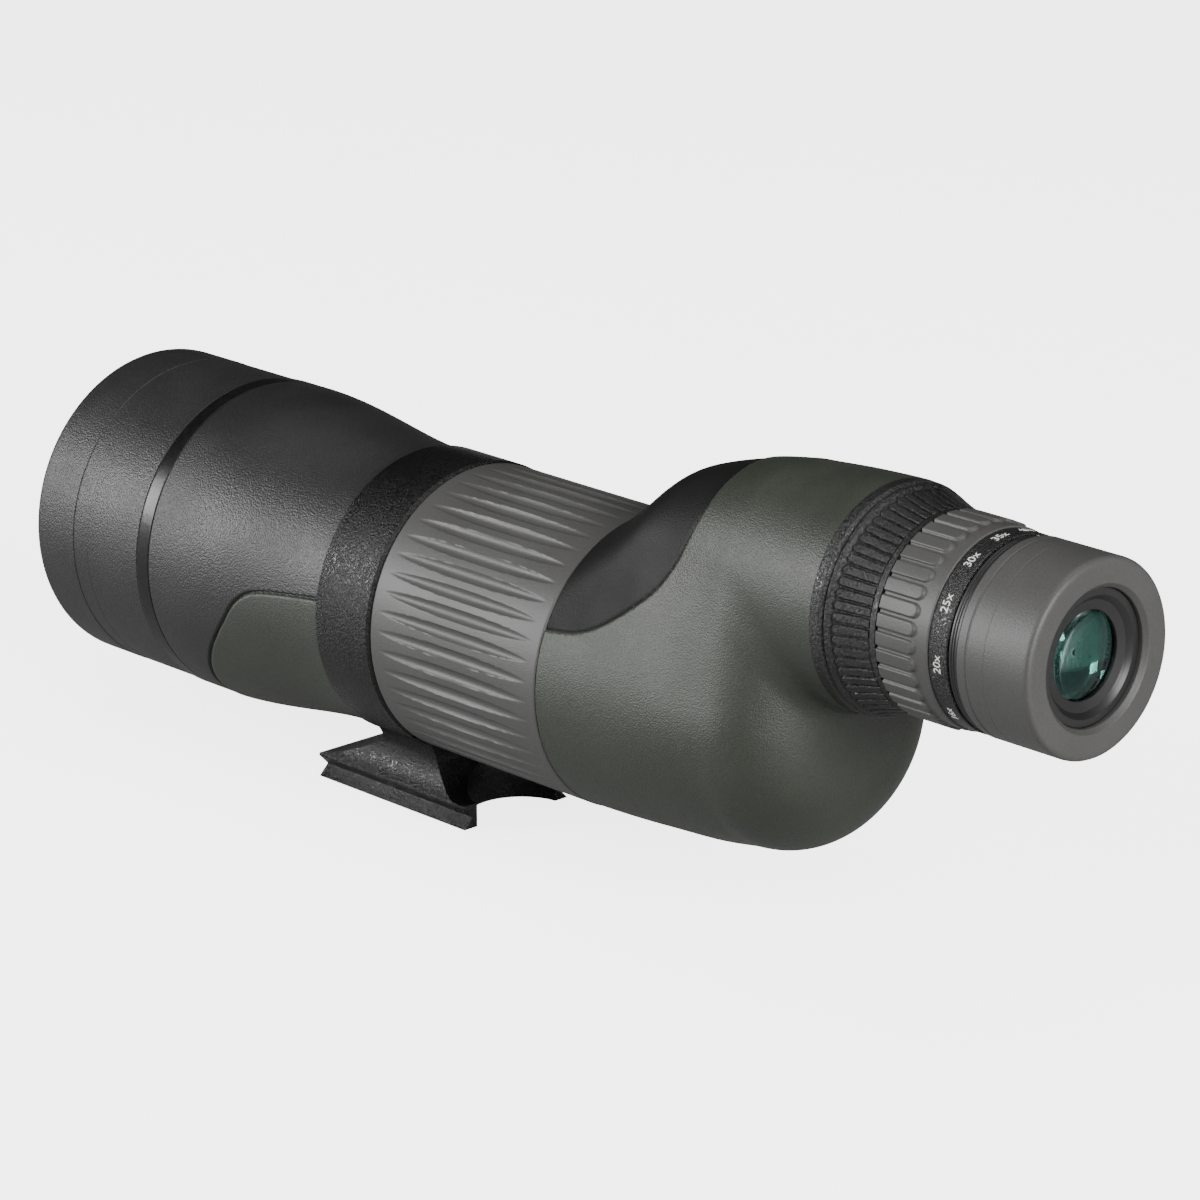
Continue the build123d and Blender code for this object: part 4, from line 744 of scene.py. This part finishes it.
def ribs(turn, y, count, radius, half, from_y, depth, facing):
    """Raised ribs with round ends: the ground between them sinks by depth. facing is the side of the rims."""
    pitch = 2 * math.pi / count
    across = (np.mod(turn / pitch + 0.5, 1.0) - 0.5) * pitch * radius
    past = np.maximum((y - from_y) * facing, 0)
    outside = np.hypot(across, past) - half
    return -depth * smooth(outside, 0.0, 0.42)


def lock_relief(turn, y, r):
    # The ribs end in a narrow channel, in front of the ring's plain rim.
    rim_y = lock_front - LOCK_RIM
    grip = ribs(turn, y, LOCK_RIBS, LOCK_MIDDLE_R, LOCK_RIB_HALF, rim_y - LOCK_RIB_HALF, LOCK_RIB_DEPTH, 1)
    on_rim = smooth(y, rim_y + 0.75, rim_y + 1.15)
    return np.where(r > LOCK_REAR_R - 1.3, grip * (1 - on_rim), 0)


waist = [
    (
        lock_rear + share * (lock_front - lock_rear),
        LOCK_REAR_R + (LOCK_R - LOCK_REAR_R) * share - LOCK_HOLLOW * share * (1 - share),
    )
    for share in np.linspace(0, 1, 9)
]
eye_ring(
    "lock_ring",
    "eyepiece_lock_ring",
    [(lock_rear, EYE_TUBE_R, 0.1)]
    + [(waist[0][0], waist[0][1], 0.25)]
    + [(y, r, 0) for y, r in waist[1:-1]]
    + [(waist[-1][0], waist[-1][1], 0.35), (lock_front, EYE_TUBE_R, 0.1)],
    "grained_black",
    "eyepiece_lock",
    pitch=0.28,
    sides=LOCK_RIBS * 22,
    relief=lock_relief,
)

# %% Zoom ring with wide ribs
zoom_rear, zoom_front, ZOOM_R = span("zoom_ring_grip")
ZOOM_CORE_R = span("zoom_ring_core")[2]
ZOOM_RIBS = 36
ZOOM_RIB_HALF = 1.55
ZOOM_RIB_DEPTH = 0.75
ZOOM_RIM = 4.3


def zoom_relief(turn, y, r):
    rib_end = zoom_rear + ZOOM_RIM + ZOOM_RIB_HALF
    grip = ribs(turn, y, ZOOM_RIBS, ZOOM_R, ZOOM_RIB_HALF, rib_end, ZOOM_RIB_DEPTH, -1)
    return np.where(r > ZOOM_R - 1.4, grip, 0)


eye_ring(
    "zoom_grip",
    "zoom_ring_grip",
    ring_corners(zoom_rear, zoom_front, ZOOM_CORE_R, ZOOM_R, 0.3, 0.45),
    "grey_rubber",
    "zoom_ring",
    pitch=0.32,
    sides=ZOOM_RIBS * 26,
    relief=zoom_relief,
)

# %% Scale band and index ring
scale_rear, scale_front, SCALE_R = span("zoom_scale_band")
eye_ring(
    "scale_band",
    "zoom_scale_band",
    ring_corners(scale_rear, scale_front, ZOOM_CORE_R, SCALE_R, 0.35, 0.1),
    "grained_black",
    "zoom_ring",
    pitch=0.5,
)

index_rear, index_front, INDEX_R = span("zoom_index_ring")
eye_ring(
    "index_ring",
    "zoom_index_ring",
    ring_corners(index_rear, index_front, EYE_TUBE_R, INDEX_R, 0.25, 0.25),
    "black_anodised",
    "scope_body",
    pitch=0.12,
    relief=lambda turn, y, r: np.where(
        r > INDEX_R - 0.4, notch(y, index_rear + 1.0, 0.35, 0.3) + notch(y, index_rear + 1.8, 0.35, 0.3), 0
    ),
)

# %% Eyecup
cup_rear, cup_front, CUP_R = span("eyecup_rubber")
CUP_CORE_R = span("eyecup_core")[2]
CUP_HOLE_R = 17.5
CUP_LIP = 2.7
CUP_RIDGE = cup_front - 2.9
CUP_LINE = cup_front - 8.7


def cup_relief(turn, y, r):
    lines = notch(y, CUP_RIDGE, 0.55, 0.28) + notch(y, CUP_LINE, 0.4, 0.16)
    return np.where(r > CUP_R - 0.5, lines, 0)


eye_ring(
    "eyecup_rubber_skin",
    "eyecup_rubber",
    [
        (cup_front, CUP_CORE_R, 0.1),
        (cup_rear + CUP_LIP, CUP_CORE_R, 0.1),
        (cup_rear + CUP_LIP, CUP_HOLE_R, 0.3),
        (cup_rear + 1.3, CUP_HOLE_R, 0.4),
        (cup_rear + 0.05, CUP_HOLE_R + 1.2, 0.35),
        (cup_rear, CUP_R, 1.7),
        (cup_front, CUP_R, 0.35),
    ],
    "grey_rubber",
    "eyecup",
    pitch=0.25,
    relief=cup_relief,
)

# %% [markdown]
# ## Prism housing
# The housing carries the light from the low barrel up to the eyepiece, so its section changes all the way:
# two circles, one round the barrel and one round the eyepiece, joined by flat flanks. A round bell grows out
# of it for the eyepiece. The two forms are made closed, fused by a voxel remesh, and the crease between
# them is relaxed into a soft hollow, as moulded rubber has. Only then is the seam of the saddle pressed in.

# %% Sections of the housing
housing_front_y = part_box("housing_armour")[1][1] / MM
HOUSING_STATIONS = [
    # y, lower radius, lower height, upper radius, upper height
    (housing_front_y + 5.0, 39.5, MAIN_Z, 39.3, MAIN_Z + 0.6),
    (housing_front_y, 39.4, MAIN_Z, 38.7, MAIN_Z + 2.0),
    (-90.0, 39.2, MAIN_Z, 31.0, MAIN_Z + 17.0),
    (-100.0, 38.8, MAIN_Z, 26.2, MAIN_Z + 30.5),
    (-110.0, 38.2, MAIN_Z, 24.0, EYE_Z - 1.4),
    (-124.0, 37.3, MAIN_Z, 26.4, EYE_Z),
    (-136.7, 36.4, MAIN_Z + 1.0, 28.6, EYE_Z),
]
REAR_ROUNDING = 22.0
SECTION_POINTS = 200


def pear(y, low_r, low_z, top_r, top_z):
    """Points round a section: two circles and the straight flanks between them, evenly spaced."""
    lean = math.asin((low_r - top_r) / (top_z - low_z))
    under = np.linspace(-math.pi / 2, lean, 60)
    over = np.linspace(lean, math.pi / 2, 60)
    side = np.concatenate(
        [
            np.stack([low_r * np.cos(under), low_z + low_r * np.sin(under)], -1),
            np.stack([top_r * np.cos(over), top_z + top_r * np.sin(over)], -1),
        ]
    )
    line = np.concatenate([side, side[-2:0:-1] * (-1, 1)])
    line = np.concatenate([line, line[:1]])
    length = np.concatenate([[0], np.cumsum(np.linalg.norm(np.diff(line, axis=0), axis=1))])
    at = np.linspace(0, length[-1], SECTION_POINTS, endpoint=False)
    x = np.interp(at, length, line[:, 0])
    z = np.interp(at, length, line[:, 1])
    return np.stack([x, np.full_like(x, y), z], -1)


def housing_rings():
    rings = [pear(*station) for station in through(HOUSING_STATIONS, 10)]
    y, low_r, low_z, top_r, top_z = HOUSING_STATIONS[-1]
    for angle in np.radians(np.linspace(4, 88, 22)):
        inset = REAR_ROUNDING * (1 - math.cos(angle))
        rings.append(pear(y - REAR_ROUNDING * math.sin(angle), low_r - inset, low_z, top_r - inset, top_z))
    return rings


# %% Closed forms, fused
def capped(rings):
    """A closed form through rings of equal count, with a fan at each end."""
    count = len(rings[0])
    points = list(np.concatenate(rings))
    faces = []
    for row in range(len(rings) - 1):
        for k in range(count):
            k2 = (k + 1) % count
            faces.append((row * count + k, row * count + k2, (row + 1) * count + k2, (row + 1) * count + k))
    for row, flip in ((0, False), (len(rings) - 1, True)):
        points.append(rings[row].mean(axis=0))
        centre = len(points) - 1
        for k in range(count):
            a, b = row * count + k, row * count + (k + 1) % count
            faces.append((a, b, centre) if flip else (b, a, centre))
    return np.array(points), faces


BELL = [
    # y and radius about the eyepiece axis
    (-115.7, 23.6),
    (-124.0, 26.2),
    (-134.9, 28.2),
    (-141.6, 28.85),
    (-148.3, 29.4),
    (-155.0, 29.85),
    (-165.7, 30.3),
    (neck_rear - 4.0, 30.4),
]


def bell_rings():
    rings = []
    for y, r in through(BELL, 6):
        turn = np.linspace(0, 2 * math.pi, 180, endpoint=False)
        rings.append(np.stack([r * np.sin(turn), np.full_like(turn, y), EYE_Z + r * np.cos(turn)], -1))
    return rings


def fused(forms, voxel_mm):
    """One closed mesh from several overlapping closed forms."""
    points, faces = [], []
    for form_points, form_faces in forms:
        start = len(points)
        points += form_points.tolist()
        faces += [[start + k for k in face] for face in form_faces]
    mesh = bpy.data.meshes.new("rough housing")
    mesh.from_pydata(points, [], faces)
    rough = bpy.data.objects.new("rough housing", mesh)
    bpy.context.collection.objects.link(rough)
    remesh = rough.modifiers.new("fuse", "REMESH")
    remesh.mode = "VOXEL"
    remesh.voxel_size = voxel_mm
    depsgraph = bpy.context.evaluated_depsgraph_get()
    done = bpy.data.meshes.new_from_object(rough.evaluated_get(depsgraph))
    bpy.data.objects.remove(rough)
    return done


housing_mesh = fused([capped(housing_rings()), capped(bell_rings())], 0.6)
print("fused housing", len(housing_mesh.vertices), "points")


# %% Relaxing the surface
def relaxed(points, edges, weight, rounds):
    """Each point moves halfway to the middle of its neighbours, by its weight, many times."""
    count = len(points)
    degree = np.bincount(edges.ravel(), minlength=count)[:, None]
    for _ in range(rounds):
        total = np.stack(
            [
                np.bincount(edges[:, 0], points[edges[:, 1], k], count)
                + np.bincount(edges[:, 1], points[edges[:, 0], k], count)
                for k in range(3)
            ],
            -1,
        )
        points = points + 0.5 * weight * (total / degree - points)
    return points


def mesh_arrays(mesh):
    points = np.empty(len(mesh.vertices) * 3)
    mesh.vertices.foreach_get("co", points)
    edges = np.empty(len(mesh.edges) * 2, dtype=int)
    mesh.edges.foreach_get("vertices", edges)
    normals = np.empty(len(mesh.vertices) * 3)
    mesh.vertices.foreach_get("normal", normals)
    return points.reshape(-1, 3), edges.reshape(-1, 2), normals.reshape(-1, 3)


def soften_housing(mesh):
    points, edges, normals = mesh_arrays(mesh)
    everywhere = np.ones((len(points), 1))
    ends = (points[:, 1] < housing_front_y + 3.5) & (points[:, 1] > neck_rear - 2.5)
    body = everywhere * ends[:, None]
    points = relaxed(points, edges, body, 14)
    pull = relaxed(points, edges, everywhere, 12) - points
    hollow = np.clip(np.einsum("ij,ij->i", pull, normals) / 0.10, 0, 1)
    hollow *= ends & (points[:, 1] < -100)
    spread = relaxed(np.repeat(hollow[:, None], 3, 1), edges, everywhere, 90)[:, :1]
    return relaxed(points, edges, np.clip(spread * 3.0, 0, 1) * body, 260), edges


housing_points, housing_edges = soften_housing(housing_mesh)
housing_mesh.vertices.foreach_set("co", housing_points.ravel())
housing_mesh.update()

# %% Trimming the ends
def trimmed(mesh, front, rear):
    """Cuts the front and rear off square and leaves them open."""
    form = bmesh.new()
    form.from_mesh(mesh)
    for y, side in ((front, 1), (rear, -1)):
        bmesh.ops.bisect_plane(
            form,
            geom=form.verts[:] + form.edges[:] + form.faces[:],
            plane_co=(0, y, 0),
            plane_no=(0, side, 0),
            clear_outer=True,
        )
    bmesh.ops.triangulate(form, faces=[face for face in form.faces if len(face.verts) > 4])
    form.to_mesh(mesh)
    form.free()
    return mesh


trimmed(housing_mesh, housing_front_y - 0.05, neck_rear + 0.05)

# %% The saddle's seam
SEAM_WIDTH = 1.0
SEAM_DEPTH = 0.65
SADDLE_SUNK = 0.35
ARMOUR_WALL = 2.0
seam_line = through(
    [
        (housing_front_y + 6.0, MAIN_Z + 16.4),
        (housing_front_y, MAIN_Z + 17.0),
        (-90.6, MAIN_Z + 18.6),
        (-99.1, MAIN_Z + 22.6),
        (-109.0, MAIN_Z + 30.4),
        (-114.3, MAIN_Z + 36.4),
        (-118.2, MAIN_Z + 43.6),
        (-121.0, MAIN_Z + 52.0),
        (-122.2, MAIN_Z + 60.0),
        (-122.4, MAIN_Z + 74.0),
    ],
    12,
)
saddle_outline = np.concatenate([seam_line, np.array([(housing_front_y + 6.0, MAIN_Z + 74.0)])])


def press_seam(mesh):
    """Sinks a channel along the seam. Returns outer points, inner points and each point's side of it."""
    points, edges, normals = mesh_arrays(mesh)
    inside = side_distance(points[:, 1], points[:, 2], saddle_outline)
    step = 0.05
    slope_y = (side_distance(points[:, 1] + step, points[:, 2], saddle_outline) - inside) / step
    slope_z = (side_distance(points[:, 1], points[:, 2] + step, saddle_outline) - inside) / step
    gradient = np.stack([np.zeros_like(slope_y), slope_y, slope_z], -1)
    along = gradient - np.einsum("ij,ij->i", gradient, normals)[:, None] * normals
    steep = np.maximum(np.linalg.norm(along, axis=1), 0.35)
    across = inside / steep
    # Points next to the seam are drawn onto it, so that the cut between the two rubbers is a clean line.
    near = np.abs(across) < 0.34
    points = points - near[:, None] * along * (inside / np.maximum(steep**2, 0.1))[:, None]
    across = np.where(near, 0.0, across)
    wall = 1 - smooth(np.abs(across), SEAM_WIDTH * 0.22, SEAM_WIDTH * 0.62)
    sink = SEAM_DEPTH * wall + SADDLE_SUNK * smooth(across, 0.1, 0.6) * (1 - wall)
    outer = points - normals * sink[:, None]
    inner = points - normals * ARMOUR_WALL
    return outer, inner, np.where(near, 0.0, inside)


housing_outer, housing_inner, saddle_side = press_seam(housing_mesh)
housing_faces = [list(face.vertices) for face in housing_mesh.polygons]
in_saddle = [saddle_side[face].mean() > 0 for face in housing_faces]


def all_triangles(faces):
    """Fans each face into triangles."""
    return [[face[0], face[k], face[k + 1]] for face in faces for k in range(1, len(face) - 1)]


armour_faces = all_triangles([face for face, saddle in zip(housing_faces, in_saddle) if not saddle])
saddle_faces = all_triangles([face for face, saddle in zip(housing_faces, in_saddle) if saddle])
skin(
    "housing_skin", housing_outer, housing_inner, armour_faces,
    "green_armour", "scope_body", ["housing_armour"], 60,
)
skin(
    "saddle_skin", housing_outer, housing_inner, saddle_faces,
    "charcoal_armour", "scope_body", ["saddle_inlay"], 60,
)
dress(bpy.data.objects["saddle_skin"], "saddle_rubber")

# %% [markdown]
# ## Numerals on the scale band
# The scale is only numbers. Each is a text object turned into a mesh and wrapped round the band. The gaps
# shrink towards the high numbers, because equal turns multiply the magnification by equal steps.

# %% Scale numerals
INDEX_TURN = math.radians(12.5)
REST_POWER = 40
TURN_PER_STEP = math.radians(156)
NUMERAL_HEIGHT = 2.3
PAINT_MM = 0.06


def printed(name, colour):
    """A flat printed finish: the colour drifts a little, as thin paint does."""
    return finish(name, MOULDED_GRAIN, colour, [min(1, 1.25 * part) for part in colour], 0.3, 0.01, 0.5)


WHITE_PRINT = printed("white print", (0.60, 0.60, 0.58))


def wrapped_text(name, words, turn, y_mid, radius, height, body):
    """Text on a ring: it reads clockwise as the user sees it, with its top towards the objective."""
    curve = bpy.data.curves.new(name, "FONT")
    curve.body = words
    curve.align_x = "CENTER"
    curve.align_y = "CENTER"
    curve.size = height * MM * 1.4
    curve.extrude = PAINT_MM * MM
    curve.resolution_u = 4
    loose = bpy.data.objects.new(name + " text", curve)
    bpy.context.collection.objects.link(loose)
    mesh = bpy.data.meshes.new_from_object(loose)
    bpy.data.objects.remove(loose)
    form = bmesh.new()
    form.from_mesh(mesh)
    bmesh.ops.remove_doubles(form, verts=form.verts, dist=1e-7)
    for point in form.verts:
        across, up, out = point.co
        angle = turn + across / (radius * MM)
        r = radius * MM + out
        point.co = (r * math.sin(angle), y_mid * MM + up, EYE_Z * MM + r * math.cos(angle))
    form.to_mesh(mesh)
    form.free()
    piece = bpy.data.objects.new(name, mesh)
    bpy.context.collection.objects.link(piece)
    piece.data.materials.clear()
    piece.data.materials.append(WHITE_PRINT)
    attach(piece, body)
    return piece


for power in (16, 20, 25, 30, 35, 40, 45, 48):
    turn = INDEX_TURN + TURN_PER_STEP * math.log(power / REST_POWER)
    wrapped_text(
        f"numeral_{power}", f"{power}x", turn, (scale_rear + scale_front) / 2, SCALE_R, NUMERAL_HEIGHT,
        "zoom_ring",
    )
print("scale from 16x to 48x")

# %% Index mark
def index_mark():
    """A small raised triangle on the fixed ring, pointing at the scale."""
    radius, low, high, half = INDEX_R, index_rear + 0.25, index_front - 0.15, 0.75
    corners = [(-half, low), (half, low), (0.0, high)]
    points = []
    for r in (radius - 0.05, radius + PAINT_MM):
        for across, y in corners:
            turn = INDEX_TURN + across / radius
            points.append((r * math.sin(turn), y, EYE_Z + r * math.cos(turn)))
    faces = [(2, 1, 0), (3, 4, 5), (0, 1, 4, 3), (1, 2, 5, 4), (2, 0, 3, 5)]
    mark = solid("index_mark", points, [list(face) for face in faces], "black_anodised", "scope_body", [])
    mark.data.materials.clear()
    mark.data.materials.append(WHITE_PRINT)
    mark.data.shade_flat()


index_mark()

# %% [markdown]
# ## Foot and collar
# The collar and its dovetail foot are one casting. The solid's shape is right, so the piece is made from it:
# its flat facets are joined up again and every edge gets a small radius, like a casting with its paint on.

# %% Casting with broken edges
def broken_edges(name, node, slot, body, radius_mm, angle_deg=28):
    source = frame["nodes"][node]
    mesh = source.data.copy()
    mesh.name = name
    piece = bpy.data.objects.new(name, mesh)
    bpy.context.collection.objects.link(piece)
    form = bmesh.new()
    form.from_mesh(mesh)
    bmesh.ops.remove_doubles(form, verts=form.verts, dist=2e-6)
    bmesh.ops.dissolve_limit(
        form, angle_limit=math.radians(1.0), verts=form.verts, edges=form.edges, delimit={"NORMAL"}
    )
    form.to_mesh(mesh)
    form.free()
    bevel = piece.modifiers.new("edge radius", "BEVEL")
    bevel.width = radius_mm * MM
    bevel.segments = 3
    bevel.limit_method = "ANGLE"
    bevel.angle_limit = math.radians(angle_deg)
    bevel.harden_normals = False
    depsgraph = bpy.context.evaluated_depsgraph_get()
    done = bpy.data.meshes.new_from_object(piece.evaluated_get(depsgraph))
    piece.modifiers.clear()
    piece.data = done
    done.shade_smooth()
    done.set_sharp_from_angle(angle=math.radians(34))
    dress(piece, slot)
    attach(piece, body)
    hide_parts(node)
    print(name, len(done.vertices), "points")
    return piece


broken_edges("collar_casting", "tripod_collar", "black_casting", "mount", 0.45)
broken_edges("lock_knob_grip", "lock_knob", "grained_black", "lock_knob", 0.35)

# %% [markdown]
# ## Floor, light and camera
# The floor is plain and pale. It looks bright to the camera but throws little light back, so the underside
# stays dark. A long low key light stands in front on the left, and others fill from above and from behind.
# The camera looks from behind and above the eyepiece.

# %% Floor
FLOOR_SEEN = (0.90, 0.90, 0.90)
FLOOR_BOUNCE = (0.30, 0.30, 0.30)  # what the floor throws back on the scope, so its underside stays dark
FLOOR_GLOW = 3.6


def make_floor():
    mesh = bpy.data.meshes.new("floor")
    form = bmesh.new()
    bmesh.ops.create_grid(form, x_segments=8, y_segments=8, size=14.0)
    form.to_mesh(mesh)
    form.free()
    floor = bpy.data.objects.new("floor", mesh)
    bpy.context.collection.objects.link(floor)
    paper = bpy.data.materials.new("paper")
    paper.use_nodes = True
    tree = paper.node_tree
    shader = tree.nodes["Principled BSDF"]
    path = tree.nodes.new("ShaderNodeLightPath")
    tone = tree.nodes.new("ShaderNodeMix")
    tone.data_type = "RGBA"
    tone.inputs["A"].default_value = (*FLOOR_BOUNCE, 1)
    tone.inputs["B"].default_value = (*FLOOR_SEEN, 1)
    tree.links.new(path.outputs["Is Camera Ray"], tone.inputs["Factor"])
    tree.links.new(tone.outputs["Result"], shader.inputs["Base Color"])
    glow = tree.nodes.new("ShaderNodeMix")
    glow.data_type = "RGBA"
    glow.inputs["A"].default_value = (0.025, 0.025, 0.025, 1)
    glow.inputs["B"].default_value = (1, 1, 1, 1)
    tree.links.new(path.outputs["Is Camera Ray"], glow.inputs["Factor"])
    tree.links.new(glow.outputs["Result"], shader.inputs["Emission Color"])
    shader.inputs["Emission Strength"].default_value = FLOOR_GLOW
    shader.inputs["Roughness"].default_value = 0.9
    floor.data.materials.append(paper)
    return floor


floor = make_floor()
floor.location.z = -0.0004

# %% Lights
def soft_light(name, place_m, target_m, width, height, watts):
    lamp = bpy.data.lights.new(name, "AREA")
    lamp.shape = "RECTANGLE"
    lamp.size = width
    lamp.size_y = height
    lamp.energy = watts
    item = bpy.data.objects.new(name, lamp)
    item.location = place_m
    item.rotation_euler = (Vector(target_m) - Vector(place_m)).to_track_quat("-Z", "Y").to_euler()
    bpy.context.collection.objects.link(item)
    return item


AIM = (0.0, -0.05, 0.07)
soft_light("key", (-1.20, 1.02, 0.52), AIM, 1.1, 0.5, 37)
soft_light("fill", (-1.3, -0.9, 1.1), AIM, 0.7, 0.7, 6)
soft_light("top", (0.1, -0.2, 1.9), AIM, 1.8, 1.8, 17)
soft_light("window", (0.45, -1.75, 0.16), (0.0, -0.235, 0.094), 0.32, 0.32, 6)
soft_light("behind", (-0.35, -1.9, 0.8), AIM, 1.0, 0.8, 55)

world = bpy.data.worlds.new("studio")
bpy.context.scene.world = world
world.use_nodes = True
world.node_tree.nodes["Background"].inputs["Color"].default_value = (1.0, 1.0, 1.0, 1)
world.node_tree.nodes["Background"].inputs["Strength"].default_value = 0.03

# %% Camera
lens = bpy.data.cameras.new("camera")
lens.sensor_width = 36.0
lens.lens = 151.8
camera = bpy.data.objects.new("camera", lens)
camera.location = (-0.8725, -0.9807, 0.4801)
camera.rotation_euler = Vector((0.6553, 0.6893, -0.3089)).to_track_quat("-Z", "Y").to_euler()
bpy.context.collection.objects.link(camera)
bpy.context.scene.camera = camera
print("camera at", tuple(camera.location))
